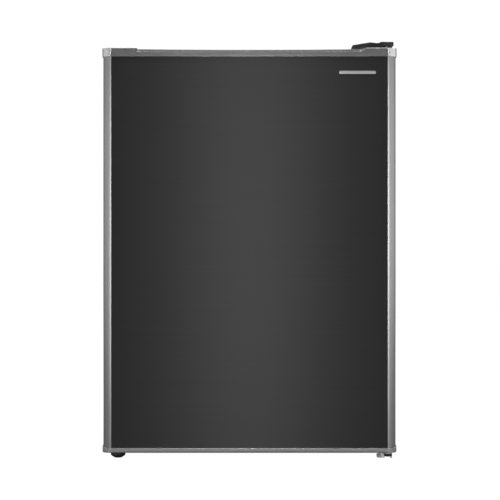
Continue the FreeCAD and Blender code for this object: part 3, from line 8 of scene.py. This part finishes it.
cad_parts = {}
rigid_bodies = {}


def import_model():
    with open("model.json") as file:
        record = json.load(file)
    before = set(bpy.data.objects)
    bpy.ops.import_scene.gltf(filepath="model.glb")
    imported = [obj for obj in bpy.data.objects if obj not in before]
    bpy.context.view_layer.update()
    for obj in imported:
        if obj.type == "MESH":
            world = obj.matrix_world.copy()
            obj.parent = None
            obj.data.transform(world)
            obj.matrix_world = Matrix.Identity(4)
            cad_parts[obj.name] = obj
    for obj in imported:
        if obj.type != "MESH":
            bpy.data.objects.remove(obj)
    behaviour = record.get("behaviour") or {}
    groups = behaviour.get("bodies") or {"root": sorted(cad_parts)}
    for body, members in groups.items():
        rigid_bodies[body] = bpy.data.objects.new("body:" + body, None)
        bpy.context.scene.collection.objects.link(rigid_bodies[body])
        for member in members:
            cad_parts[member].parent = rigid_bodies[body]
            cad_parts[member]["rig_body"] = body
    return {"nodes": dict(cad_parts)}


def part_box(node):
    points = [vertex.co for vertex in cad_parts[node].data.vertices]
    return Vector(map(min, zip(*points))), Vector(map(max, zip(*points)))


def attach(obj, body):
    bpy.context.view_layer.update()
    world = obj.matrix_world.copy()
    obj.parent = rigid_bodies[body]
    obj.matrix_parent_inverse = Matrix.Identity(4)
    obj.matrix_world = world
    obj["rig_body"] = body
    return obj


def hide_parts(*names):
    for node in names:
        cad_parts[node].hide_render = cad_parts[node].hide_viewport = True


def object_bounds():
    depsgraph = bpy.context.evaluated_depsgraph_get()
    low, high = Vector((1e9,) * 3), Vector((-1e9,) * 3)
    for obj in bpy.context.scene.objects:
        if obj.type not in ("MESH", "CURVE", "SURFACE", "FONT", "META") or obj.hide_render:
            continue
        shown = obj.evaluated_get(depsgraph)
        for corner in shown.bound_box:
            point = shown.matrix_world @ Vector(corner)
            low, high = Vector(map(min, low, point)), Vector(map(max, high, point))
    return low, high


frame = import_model()
cad_low, cad_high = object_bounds()

# ------------------------------------------------------------------ studio
# The refrigerator stands on a pale sweep in a dim studio. A small narrow softbox stands in front,
# a near and a wide one light each side, one hangs overhead and two hang high behind.

ROOM_LIGHT, SEEN_WHITE, FLOOR_SIZE = 0.08, 1.05, 30.0
FLOOR_GLOW, FLOOR_SEEN_GLOW = 0.03, 0.98
floor_shape = bmesh.new()
bmesh.ops.create_grid(floor_shape, x_segments=8, y_segments=8, size=FLOOR_SIZE)
floor_mesh = bpy.data.meshes.new("floor")
floor_shape.to_mesh(floor_mesh)
floor_shape.free()
floor = bpy.data.objects.new("floor", floor_mesh)
bpy.context.scene.collection.objects.link(floor)
sweep = bpy.data.materials.new("pale_sweep")
sweep.use_nodes = True
sweep_shader = sweep.node_tree.nodes["Principled BSDF"]
sweep_shader.inputs["Base Color"].default_value = (0.3, 0.3, 0.3, 1)
sweep_shader.inputs["Roughness"].default_value = 0.9
sweep_shader.inputs["Specular IOR Level"].default_value = 0.1
sweep_shader.inputs["Emission Color"].default_value = (1, 1, 1, 1)
floor_glow = sweep.node_tree.nodes.new("ShaderNodeMapRange")
floor_seen = sweep.node_tree.nodes.new("ShaderNodeLightPath")
floor_glow.inputs["To Min"].default_value = FLOOR_GLOW
floor_glow.inputs["To Max"].default_value = FLOOR_SEEN_GLOW
sweep.node_tree.links.new(floor_seen.outputs["Is Camera Ray"], floor_glow.inputs["Value"])
sweep.node_tree.links.new(floor_glow.outputs["Result"], sweep_shader.inputs["Emission Strength"])
floor_mesh.materials.append(sweep)

world = bpy.data.worlds.new("studio")
world.use_nodes = True
bpy.context.scene.world = world
air = world.node_tree
room = air.nodes["Background"]
room.inputs["Color"].default_value = (1, 1, 1, 1)
room.inputs["Strength"].default_value = ROOM_LIGHT
white = air.nodes.new("ShaderNodeBackground")
white.inputs["Color"].default_value = (1, 1, 1, 1)
white.inputs["Strength"].default_value = SEEN_WHITE
seen = air.nodes.new("ShaderNodeLightPath")
either = air.nodes.new("ShaderNodeMixShader")
air.links.new(seen.outputs["Is Camera Ray"], either.inputs["Fac"])
air.links.new(room.outputs["Background"], either.inputs[1])
air.links.new(white.outputs["Background"], either.inputs[2])
air.links.new(either.outputs["Shader"], air.nodes["World Output"].inputs["Surface"])


def softbox(name, place, target, width, height, power):
    """A rectangular area lamp that faces a point."""
    lamp = bpy.data.lights.new(name, "AREA")
    lamp.shape = "RECTANGLE"
    lamp.size, lamp.size_y, lamp.energy = width, height, power
    holder = bpy.data.objects.new(name, lamp)
    holder.location = place
    holder.rotation_mode = "QUATERNION"
    holder.rotation_quaternion = (Vector(target) - Vector(place)).to_track_quat("-Z", "Y")
    bpy.context.scene.collection.objects.link(holder)
    return holder


softbox("front_strip", (0.0, -3.1, 0.38), (0.0, -0.2, 0.38), 0.26, 0.44, 5.6)
softbox("right_near", (1.31, -2.13, 0.42), (0.21, -0.22, 0.38), 0.6, 0.78, 10.6)
softbox("right_wide", (2.2, -1.15, 0.56), (0.21, -0.22, 0.45), 1.6, 0.95, 5.5)
softbox("left_near", (-1.31, -2.13, 0.42), (-0.21, -0.22, 0.38), 0.6, 0.78, 8.4)
softbox("left_wide", (-2.2, -1.15, 0.56), (-0.21, -0.22, 0.45), 1.6, 0.95, 4.0)
softbox("high_box", (0.0, -0.6, 3.0), (0.0, -0.1, 0.3), 1.8, 1.2, 24.0)
softbox("back_box", (1.4, 2.2, 3.4), (0.0, 0.2, 0.3), 1.4, 1.4, 50.0)
softbox("far_back_box", (-2.0, 1.6, 3.0), (0.0, 0.1, 0.3), 1.4, 1.4, 34.0)

EYE_SIDE, EYE_HEIGHT, EYE_DISTANCE, VIEW_WIDTH = 0.0008, 0.325, 2.2, 0.7585
camera = bpy.data.objects.new("camera", bpy.data.cameras.new("camera"))
camera.location = (EYE_SIDE, cad_low.y - EYE_DISTANCE, EYE_HEIGHT)
camera.rotation_euler = (pi / 2, 0, 0)
camera.data.sensor_width = 36.0
camera.data.lens = camera.data.sensor_width * EYE_DISTANCE / VIEW_WIDTH
camera.data.clip_start, camera.data.clip_end = 0.05, 100.0
bpy.context.scene.collection.objects.link(camera)
bpy.context.scene.camera = camera
bpy.context.scene.view_settings.view_transform = "Standard"

# ------------------------------------------------------------------ cabinet sheet metal
# Cold-rolled steel, folded along its front edge and enamelled black with a fine pebble that
# hides scratches. The back panel, base pan and compressor tray are plain galvanised sheet.


def finish(name, colour, metallic=0.0, roughness=0.5, **numbers):
    """A material whose plain numbers sit on the shader itself."""
    material = bpy.data.materials.new(name)
    material.use_nodes = True
    shader = material.node_tree.nodes["Principled BSDF"]
    shader.inputs["Base Color"].default_value = (*colour, 1)
    shader.inputs["Metallic"].default_value = metallic
    shader.inputs["Roughness"].default_value = roughness
    for socket, value in numbers.items():
        shader.inputs[socket.replace("_", " ")].default_value = value
    return material


def pattern(material, kind, scale, stretch=(1, 1, 1), **numbers):
    """A noise or cell pattern on the piece's own coordinates; returns its factor or distance."""
    tree = material.node_tree
    place = tree.nodes.new("ShaderNodeTexCoord")
    fit = tree.nodes.new("ShaderNodeMapping")
    fit.inputs["Scale"].default_value = stretch
    made = tree.nodes.new("ShaderNodeTexNoise" if kind == "noise" else "ShaderNodeTexVoronoi")
    made.inputs["Scale"].default_value = scale
    for socket, value in numbers.items():
        if socket == "feature":
            made.feature = value
        else:
            made.inputs[socket.replace("_", " ")].default_value = value
    tree.links.new(place.outputs["Object"], fit.inputs["Vector"])
    tree.links.new(fit.outputs["Vector"], made.inputs["Vector"])
    return made.outputs["Fac"] if kind == "noise" else made.outputs["Distance"]


def tinted(material, factor, dark, light, low=0.3, high=0.7):
    """Colour that runs between two shades with a pattern."""
    tree = material.node_tree
    ramp = tree.nodes.new("ShaderNodeValToRGB")
    ramp.color_ramp.elements[0].position, ramp.color_ramp.elements[1].position = low, high
    ramp.color_ramp.elements[0].color = (*dark, 1)
    ramp.color_ramp.elements[1].color = (*light, 1)
    tree.links.new(factor, ramp.inputs["Fac"])
    tree.links.new(ramp.outputs["Color"], tree.nodes["Principled BSDF"].inputs["Base Color"])


def glossed(material, factor, smooth, dull):
    """Roughness that runs between two values with a pattern."""
    tree = material.node_tree
    spread = tree.nodes.new("ShaderNodeMapRange")
    spread.inputs["From Min"].default_value, spread.inputs["From Max"].default_value = 0.3, 0.7
    spread.inputs["To Min"].default_value, spread.inputs["To Max"].default_value = smooth, dull
    tree.links.new(factor, spread.inputs["Value"])
    tree.links.new(spread.outputs["Result"], tree.nodes["Principled BSDF"].inputs["Roughness"])


def embossed(material, factor, depth, strength=1.0):
    """Relief of a pattern, its depth in metres; a second call adds to the first."""
    tree = material.node_tree
    normal = tree.nodes["Principled BSDF"].inputs["Normal"]
    bump = tree.nodes.new("ShaderNodeBump")
    bump.inputs["Strength"].default_value = strength
    bump.inputs["Distance"].default_value = depth
    tree.links.new(factor, bump.inputs["Height"])
    if normal.links:
        tree.links.new(normal.links[0].from_socket, bump.inputs["Normal"])
    tree.links.new(bump.outputs["Normal"], normal)


MERGE_WITHIN, FLAT_WITHIN, SHARP_ABOVE = 2e-6, radians(0.5), radians(40)


def eased(node, material, edge=0.0003, segments=2, angle=28):
    """Stands for a CAD part: the same shape with merged seams, eased edges and smooth curves."""
    source = frame["nodes"][node]
    shape = bmesh.new()
    shape.from_mesh(source.data)
    bmesh.ops.remove_doubles(shape, verts=shape.verts, dist=MERGE_WITHIN)
    bmesh.ops.dissolve_limit(shape, angle_limit=FLAT_WITHIN, verts=shape.verts,
                             edges=shape.edges, use_dissolve_boundaries=False)
    if edge:
        corners = [e for e in shape.edges if e.is_manifold and e.calc_face_angle(0) > radians(angle)]
        bmesh.ops.bevel(shape, geom=corners, offset=edge, offset_type="OFFSET", affect="EDGES",
                        segments=segments, profile=0.5, material=-1, clamp_overlap=True)
    bmesh.ops.triangulate(shape, faces=[f for f in shape.faces if len(f.verts) > 4])
    for face in shape.faces:
        face.smooth = True
        face.material_index = 0
    mesh = bpy.data.meshes.new(node)
    shape.to_mesh(mesh)
    shape.free()
    mesh.set_sharp_from_angle(angle=SHARP_ABOVE)
    return placed(node + "_made", mesh, material, source["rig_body"], node)


def placed(name, mesh, material, body, *nodes):
    """Links a mesh as a piece of the scene that rides on a body and stands for CAD parts."""
    piece = bpy.data.objects.new(name, mesh)
    bpy.context.scene.collection.objects.link(piece)
    if material is not None:
        piece.data.materials.clear()
        piece.data.materials.append(material)
    even = piece.modifiers.new("even_shading", "WEIGHTED_NORMAL")
    even.keep_sharp = True
    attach(piece, body)
    if nodes:
        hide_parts(*nodes)
    return piece


enamel = finish("black_enamel", (0.012, 0.012, 0.013), roughness=0.42, Coat_Weight=0.15)
tinted(enamel, pattern(enamel, "noise", 3.0, Detail=3.0), (0.010, 0.010, 0.011), (0.016, 0.016, 0.017))
glossed(enamel, pattern(enamel, "noise", 9.0, Detail=4.0), 0.36, 0.48)
embossed(enamel, pattern(enamel, "noise", 420.0, Detail=1.5), 0.00006, 0.5)
for panel in ("left_side_panel", "right_side_panel", "top_panel"):
    eased(panel, enamel, 0.0003)

galvanised = finish("galvanised_sheet", (0.5, 0.51, 0.52), metallic=0.9, roughness=0.4)
spangle = pattern(galvanised, "cells", 70.0, Randomness=1.0)
tinted(galvanised, spangle, (0.42, 0.43, 0.44), (0.60, 0.61, 0.62), 0.1, 0.8)
glossed(galvanised, pattern(galvanised, "noise", 60.0, Detail=5.0), 0.32, 0.52)
embossed(galvanised, pattern(galvanised, "noise", 14.0, Detail=2.0), 0.0006, 0.3)
for panel in ("back_panel", "base_pan", "compressor_tray"):
    eased(panel, galvanised, 0.0003)

# ------------------------------------------------------------------ insulation and inner liner
# Polyurethane foam is blown in between the sheets and the liner. The liner is one white
# polystyrene sheet, drawn down over a tool, with a soft gloss and very slight ripples.

foam = finish("insulating_foam", (0.80, 0.70, 0.45), roughness=0.9)
tinted(foam, pattern(foam, "noise", 60.0, Detail=6.0), (0.72, 0.60, 0.36), (0.88, 0.78, 0.54))
embossed(foam, pattern(foam, "cells", 500.0), 0.0004, 0.6)
for block in ("cabinet_insulation", "door_insulation"):
    for holder in frame["nodes"][block].material_slots:
        holder.material = foam

polystyrene = finish("white_polystyrene", (0.83, 0.84, 0.85), roughness=0.28, Coat_Weight=0.2)
tinted(polystyrene, pattern(polystyrene, "noise", 4.0, Detail=3.0),
       (0.80, 0.81, 0.82), (0.86, 0.87, 0.88))
glossed(polystyrene, pattern(polystyrene, "noise", 35.0, Detail=4.0), 0.30, 0.36)
embossed(polystyrene, pattern(polystyrene, "noise", 8.0, Detail=0.0), 0.00008, 0.15)
eased("inner_liner", polystyrene, 0.0012, segments=3)
eased("door_liner", polystyrene, 0.0010, segments=3)

# ------------------------------------------------------------------ hinges
# Cranked zinc-plated steel brackets, screwed to the cabinet, carry a bright upper pin and a black
# lower one. A moulded black cover clips over the upper bracket, and plugs close the holes that a
# left-hand door would use.

zinc = finish("zinc_plate", (0.62, 0.63, 0.64), metallic=1.0, roughness=0.32)
tinted(zinc, pattern(zinc, "noise", 55.0, Detail=5.0), (0.52, 0.53, 0.54), (0.70, 0.71, 0.72))
glossed(zinc, pattern(zinc, "noise", 160.0, Detail=4.0), 0.29, 0.42)
embossed(zinc, pattern(zinc, "noise", 900.0, Detail=2.0), 0.00003, 0.4)
for part in ("top_hinge_bracket", "top_hinge_screws", "bottom_hinge_screws"):
    eased(part, zinc, 0.0002)

dull_zinc = finish("dull_zinc", (0.86, 0.86, 0.85), metallic=0.15, roughness=0.5)
tinted(dull_zinc, pattern(dull_zinc, "noise", 150.0, Detail=4.0), (0.80, 0.80, 0.79), (0.90, 0.90, 0.89))
glossed(dull_zinc, pattern(dull_zinc, "noise", 300.0, Detail=4.0), 0.42, 0.58)
embossed(dull_zinc, pattern(dull_zinc, "noise", 900.0, Detail=2.0), 0.00003, 0.4)
eased("bottom_hinge_bracket", dull_zinc, 0.0002)

pin_steel = finish("bright_pin", (0.80, 0.80, 0.81), metallic=1.0, roughness=0.16)
glossed(pin_steel, pattern(pin_steel, "noise", 400.0, (1, 1, 6), Detail=3.0), 0.12, 0.22)
embossed(pin_steel, pattern(pin_steel, "noise", 300.0, (1, 1, 8), Detail=2.0), 0.00001, 0.4)
eased("top_hinge_pin", pin_steel, 0.0002)

black_plastic = finish("black_moulding", (0.022, 0.022, 0.023), roughness=0.42)
tinted(black_plastic, pattern(black_plastic, "noise", 30.0, Detail=4.0),
       (0.018, 0.018, 0.019), (0.028, 0.028, 0.029))
glossed(black_plastic, pattern(black_plastic, "noise", 90.0, Detail=4.0), 0.36, 0.5)
embossed(black_plastic, pattern(black_plastic, "noise", 1400.0, Detail=2.0), 0.00004, 0.5)
for part in ("hinge_cover", "hinge_hole_plugs"):
    eased(part, black_plastic, 0.0004, segments=3)

black_paint = finish("black_paint", (0.02, 0.02, 0.021), metallic=0.2, roughness=0.35)
tinted(black_paint, pattern(black_paint, "noise", 40.0, Detail=4.0),
       (0.015, 0.015, 0.016), (0.03, 0.03, 0.031))
glossed(black_paint, pattern(black_paint, "noise", 120.0, Detail=4.0), 0.30, 0.45)
embossed(black_paint, pattern(black_paint, "noise", 700.0, Detail=2.0), 0.00003, 0.5)
eased("bottom_hinge_pin", black_paint, 0.0002)

# ------------------------------------------------------------------ feet
# Two black moulded pads stand under the compressor tray at the back. In front a black moulded
# foot screws into the base pan on the left, and a zinc-plated hexagon screw into the hinge
# bracket on the right; both turn to level the cabinet.

for part in ("left_levelling_foot", "rear_feet"):
    eased(part, black_plastic, 0.0004, segments=3)
eased("right_levelling_screw", dull_zinc, 0.0002)

# ------------------------------------------------------------------ door
# A flat steel front, brushed from side to side and lacquered black, is held by silver lacquered
# strips at its sides and by silver-grey moulded caps above and below.

door_black = finish("black_brushed_sheet", (0.075, 0.075, 0.076), metallic=1.0, roughness=0.4,
                    Anisotropic=0.9)
brushing = pattern(door_black, "noise", 1.0, (5.0, 5.0, 1500.0), Detail=3.0)
tinted(door_black, brushing, (0.068, 0.068, 0.069), (0.080, 0.080, 0.081))
glossed(door_black, brushing, 0.38, 0.42)
embossed(door_black, brushing, 0.000004, 0.3)
grain = door_black.node_tree.nodes.new("ShaderNodeTangent")
grain.direction_type, grain.uv_map = "UV_MAP", "run"
door_black.node_tree.links.new(grain.outputs["Tangent"],
                               door_black.node_tree.nodes["Principled BSDF"].inputs["Tangent"])


def with_map(piece, across, up):
    """Lays a flat map over a piece: across and up are axes, so that brushing follows them."""
    layer = piece.data.uv_layers.new(name="run")
    for loop in piece.data.loops:
        point = piece.data.vertices[loop.vertex_index].co
        layer.data[loop.index].uv = (point[across], point[up])


skin = eased("door_skin", door_black, 0.0002)
with_map(skin, 2, 0)

silver = finish("silver_lacquer", (0.34, 0.34, 0.345), metallic=0.9, roughness=0.28)
drawing_lines = pattern(silver, "noise", 1.0, (900.0, 900.0, 3.0), Detail=2.0)
tinted(silver, drawing_lines, (0.32, 0.32, 0.325), (0.36, 0.36, 0.365))
glossed(silver, drawing_lines, 0.285, 0.315)
embossed(silver, drawing_lines, 0.000002, 0.3)
for strip in ("left_edge_trim", "right_edge_trim"):
    eased(strip, silver, 0.0003, segments=3)

cap_grey = finish("silver_grey_moulding", (0.66, 0.66, 0.665), metallic=1.0, roughness=0.2)
tinted(cap_grey, pattern(cap_grey, "noise", 240.0, Detail=5.0), (0.63, 0.63, 0.635), (0.69, 0.69, 0.695))
glossed(cap_grey, pattern(cap_grey, "noise", 300.0, Detail=4.0), 0.18, 0.22)
embossed(cap_grey, pattern(cap_grey, "noise", 1600.0, Detail=1.5), 0.00001, 0.5)
for cap in ("door_top_cap", "door_bottom_cap"):
    eased(cap, cap_grey, 0.0004, segments=3)

nylon = finish("natural_nylon", (0.80, 0.78, 0.72), roughness=0.45, Subsurface_Weight=0.1)
glossed(nylon, pattern(nylon, "noise", 200.0, Detail=3.0), 0.38, 0.52)
embossed(nylon, pattern(nylon, "noise", 900.0, Detail=2.0), 0.00002, 0.4)
eased("hinge_bushes", nylon, 0.0002)

badge_metal = finish("badge_metal", (0.62, 0.62, 0.63), metallic=1.0, roughness=0.3)
glossed(badge_metal, pattern(badge_metal, "noise", 1.0, (20.0, 20.0, 4000.0), Detail=2.0), 0.29, 0.38)
embossed(badge_metal, pattern(badge_metal, "noise", 1.0, (20.0, 20.0, 4000.0), Detail=2.0), 0.00001, 0.5)
eased("door_badge", badge_metal, 0.0002)

# ------------------------------------------------------------------ door seal
# An extruded soft vinyl bellows: a flange at the door, a folded waist and a hollow tube that
# holds the magnet. Four mitred lengths are welded at the corners and pressed onto the liner.

vinyl = finish("seal_vinyl", (0.10, 0.10, 0.105), roughness=0.55, Sheen_Weight=0.1)
tinted(vinyl, pattern(vinyl, "noise", 40.0, Detail=4.0), (0.08, 0.08, 0.085), (0.13, 0.13, 0.135))
embossed(vinyl, pattern(vinyl, "noise", 600.0, Detail=2.0), 0.00004, 0.5)

SEAL_SECTION = ((0.0, 0.0), (0.0, 0.0010), (0.0036, 0.0016), (0.0036, 0.0024), (0.0016, 0.0032),
                (0.0010, 0.0042), (0.0010, 0.0074), (0.0018, 0.00845), (0.0112, 0.00845),
                (0.0120, 0.0074), (0.0120, 0.0042), (0.0114, 0.0032), (0.0094, 0.0024),
                (0.0094, 0.0016), (0.0130, 0.0010), (0.0130, 0.0))
seal_low, seal_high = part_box("door_gasket")
seal_middle = Matrix.Translation(-(Vector(seal_low) + Vector(seal_high)) / 2)
seal = bmesh.new()
mitre = [seal.verts.new((seal_low[0] + inward, seal_low[1] + out, seal_low[2] + inward))
         for inward, out in SEAL_SECTION]
loop = [seal.edges.new(pair) for pair in zip(mitre, mitre[1:] + mitre[:1])]
for flip in ((-1, 1, 1), (1, 1, -1), (-1, 1, 1), (1, 1, -1)):
    length = bmesh.ops.extrude_edge_only(seal, edges=loop)["geom"]
    mitre = [part for part in length if isinstance(part, bmesh.types.BMVert)]
    loop = [part for part in length
            if isinstance(part, bmesh.types.BMEdge) and all(v in mitre for v in part.verts)]
    bmesh.ops.scale(seal, vec=flip, space=seal_middle, verts=mitre)
bmesh.ops.remove_doubles(seal, verts=seal.verts, dist=1e-6)
bmesh.ops.recalc_face_normals(seal, faces=seal.faces)
folds = [e for e in seal.edges if e.is_manifold and e.calc_face_angle(0) > radians(20)
         and e.calc_length() > 0.1]
bmesh.ops.bevel(seal, geom=folds, offset=0.00025, offset_type="OFFSET", affect="EDGES",
                segments=2, profile=0.5, material=-1, clamp_overlap=True)
seal_mesh = bpy.data.meshes.new("door_seal")
seal.to_mesh(seal_mesh)
seal.free()
placed("door_seal", seal_mesh, vinyl, "door", "door_gasket")

ferrite = finish("bonded_ferrite", (0.05, 0.045, 0.04), roughness=0.7)
tinted(ferrite, pattern(ferrite, "noise", 300.0, Detail=3.0), (0.04, 0.035, 0.03), (0.07, 0.06, 0.055))
for holder in frame["nodes"]["gasket_magnet"].material_slots:
    holder.material = ferrite

# ------------------------------------------------------------------ door racks
# Three clear bins, injection moulded in polystyrene with a faint blue tint. Each sits between
# the two upright ridges of the door's liner.

clear = finish("clear_styrene", (0.92, 0.96, 0.98), roughness=0.12, Transmission_Weight=0.85, IOR=1.45)
glossed(clear, pattern(clear, "noise", 30.0, Detail=4.0), 0.08, 0.2)
embossed(clear, pattern(clear, "noise", 25.0, Detail=2.0), 0.0003, 0.2)
for rack in ("bottle_rack", "middle_rack", "upper_rack"):
    eased(rack, clear, 0.0005, segments=2)

# ------------------------------------------------------------------ freezer box
# The evaporator is a roll-bonded aluminium sheet folded into a box. Its opening has a white
# moulded surround whose ears take the flap's pins; the drip tray slides on rails under it.

aluminium = finish("roll_bond_aluminium", (0.78, 0.79, 0.80), metallic=1.0, roughness=0.38)
tinted(aluminium, pattern(aluminium, "noise", 20.0, Detail=4.0), (0.70, 0.71, 0.72), (0.82, 0.83, 0.84))
glossed(aluminium, pattern(aluminium, "noise", 80.0, Detail=4.0), 0.30, 0.46)
embossed(aluminium, pattern(aluminium, "cells", 260.0), 0.0002, 0.4)
eased("evaporator_box", aluminium, 0.0003)

white_moulding = finish("white_moulding", (0.82, 0.83, 0.84), roughness=0.36)
tinted(white_moulding, pattern(white_moulding, "noise", 8.0, Detail=3.0),
       (0.79, 0.80, 0.81), (0.85, 0.86, 0.87))
glossed(white_moulding, pattern(white_moulding, "noise", 60.0, Detail=4.0), 0.30, 0.42)
embossed(white_moulding, pattern(white_moulding, "noise", 1200.0, Detail=2.0), 0.00002, 0.5)
for part in ("freezer_surround", "freezer_flap", "drip_tray_rails"):
    eased(part, white_moulding, 0.0004, segments=3)
eased("drip_tray", clear, 0.0005, segments=2)

# ------------------------------------------------------------------ thermostat
# A white moulded housing covers a zinc-plated switch, which the moulded dial turns by its
# spindle. Printed ink marks a pointer on the dial and, round it on the housing, 0 for off at the
# top and 1 to 7 for colder, clockwise as the dial turns.

for part in ("thermostat_housing", "thermostat_dial"):
    eased(part, white_moulding, 0.0004, segments=3)
eased("thermostat_switch", zinc, 0.0002)

print_ink = finish("print_ink", (0.10, 0.11, 0.13), roughness=0.55)
tinted(print_ink, pattern(print_ink, "noise", 900.0, Detail=3.0), (0.08, 0.09, 0.11), (0.13, 0.14, 0.16))
dial_low, dial_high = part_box("thermostat_dial")
dial_middle = (Vector(dial_low) + Vector(dial_high)) / 2
housing_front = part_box("thermostat_housing")[0][1]
NUMBER_HEIGHT, NUMBER_RING, INK_DEPTH, DIAL_SWEEP = 0.0042, 0.0198, 0.00012, radians(270)
HIGHEST_SETTING = 7
numbers = bmesh.new()
for setting in range(HIGHEST_SETTING + 1):
    figure = bpy.data.curves.new("figure", "FONT")
    figure.body, figure.size, figure.extrude = str(setting), NUMBER_HEIGHT, INK_DEPTH
    figure.align_x, figure.align_y, figure.resolution_u = "CENTER", "CENTER", 3
    shown = bpy.data.objects.new("figure", figure)
    bpy.context.scene.collection.objects.link(shown)
    outline = shown.evaluated_get(bpy.context.evaluated_depsgraph_get())
    flat = bpy.data.meshes.new_from_object(outline)
    turn = DIAL_SWEEP * setting / HIGHEST_SETTING
    place = Vector((dial_middle.x + NUMBER_RING * sin(turn), housing_front,
                    dial_middle.z + NUMBER_RING * cos(turn)))
    flat.transform(Matrix.Translation(place) @ Matrix.Rotation(pi / 2, 4, "X"))
    numbers.from_mesh(flat)
    bpy.data.objects.remove(shown)
    bpy.data.meshes.remove(flat)
bmesh.ops.remove_doubles(numbers, verts=numbers.verts, dist=1e-6)
bmesh.ops.recalc_face_normals(numbers, faces=numbers.faces)
numbers_mesh = bpy.data.meshes.new("thermostat_numbers")
numbers.to_mesh(numbers_mesh)
numbers.free()
thermostat_numbers = placed("thermostat_numbers", numbers_mesh, print_ink, "cabinet")

LINE_HALF_WIDTH, LINE_FOOT, LINE_LENGTH = 0.0004, 0.0050, 0.0050
line = bmesh.new()
bmesh.ops.create_circle(line, cap_ends=True, segments=16, radius=LINE_HALF_WIDTH)
bmesh.ops.translate(line, vec=(0, LINE_LENGTH, 0), verts=[v for v in line.verts if v.co.y > 1e-6])
thick = bmesh.ops.extrude_face_region(line, geom=line.faces[:])["geom"]
bmesh.ops.translate(line, vec=(0, 0, 2 * INK_DEPTH),
                    verts=[part for part in thick if isinstance(part, bmesh.types.BMVert)])
bmesh.ops.recalc_face_normals(line, faces=line.faces)
foot = Vector((dial_middle.x, dial_low[1] + INK_DEPTH, dial_middle.z + LINE_FOOT))
line.transform(Matrix.Translation(foot) @ Matrix.Rotation(pi / 2, 4, "X"))
line_mesh = bpy.data.meshes.new("dial_pointer_line")
line.to_mesh(line_mesh)
line.free()
pointer_line = placed("dial_pointer_line", line_mesh, print_ink, "dial")

# ------------------------------------------------------------------ shelves and crisper
# Tempered float glass with ground edges, pushed into white mouldings at the front and back. The
# crisper below them is one clear moulding, which slides on the liner's floor.

float_glass = finish("float_glass", (0.90, 0.97, 0.94), roughness=0.02, Transmission_Weight=1.0, IOR=1.52)
glossed(float_glass, pattern(float_glass, "noise", 15.0, Detail=2.0), 0.01, 0.04)
for pane in ("upper_shelf_glass", "lower_shelf_glass"):
    eased(pane, float_glass, 0.0005, segments=3)
for part in ("upper_shelf_trim", "lower_shelf_trim"):
    eased(part, white_moulding, 0.0004, segments=3)
eased("crisper_drawer", clear, 0.0005, segments=2)

# ------------------------------------------------------------------ refrigeration plant
# A black enamelled hermetic compressor on rubber grommets, joined to the condenser and the
# freezer by copper tubes; the drier is a spun copper shell. The cord's bush is rubber too.

shell_paint = finish("compressor_enamel", (0.012, 0.012, 0.013), roughness=0.25, Coat_Weight=0.4)
tinted(shell_paint, pattern(shell_paint, "noise", 25.0, Detail=5.0),
       (0.010, 0.010, 0.011), (0.022, 0.022, 0.022))
glossed(shell_paint, pattern(shell_paint, "noise", 60.0, Detail=5.0), 0.29, 0.38)
embossed(shell_paint, pattern(shell_paint, "noise", 180.0, Detail=2.0), 0.0001, 0.3)
eased("compressor", shell_paint, 0.0005, segments=2)
eased("compressor_bolts", zinc, 0.0002)
eased("starter_cover", black_plastic, 0.0004, segments=3)

rubber = finish("black_rubber", (0.02, 0.02, 0.02), roughness=0.7)
tinted(rubber, pattern(rubber, "noise", 120.0, Detail=4.0), (0.014, 0.014, 0.014), (0.03, 0.03, 0.03))
embossed(rubber, pattern(rubber, "noise", 900.0, Detail=3.0), 0.00008, 0.5)
for part in ("compressor_grommets", "cord_bush"):
    eased(part, rubber, 0.0004, segments=2)

copper = finish("drawn_copper", (0.66, 0.34, 0.22), metallic=1.0, roughness=0.34)
tinted(copper, pattern(copper, "noise", 70.0, Detail=5.0), (0.45, 0.22, 0.14), (0.74, 0.40, 0.27))
glossed(copper, pattern(copper, "noise", 120.0, Detail=4.0), 0.30, 0.5)
embossed(copper, pattern(copper, "noise", 500.0, Detail=2.0), 0.00004, 0.4)
for part in ("suction_pipe", "discharge_pipe", "filter_drier", "capillary_tube"):
    eased(part, copper, 0.0)

# ------------------------------------------------------------------ condenser
# Steel tube bent into a flat coil, with upright wires spot-welded to both its faces, all painted
# black. Zinc-plated clips hold it off the back panel, and moulded spacers keep it off the wall.

eased("condenser_tube", black_paint, 0.0002)
for holder in frame["nodes"]["condenser_wires"].material_slots:
    holder.material = black_paint
eased("condenser_clips", zinc, 0.0002)
eased("wall_spacers", black_plastic, 0.0004, segments=3)
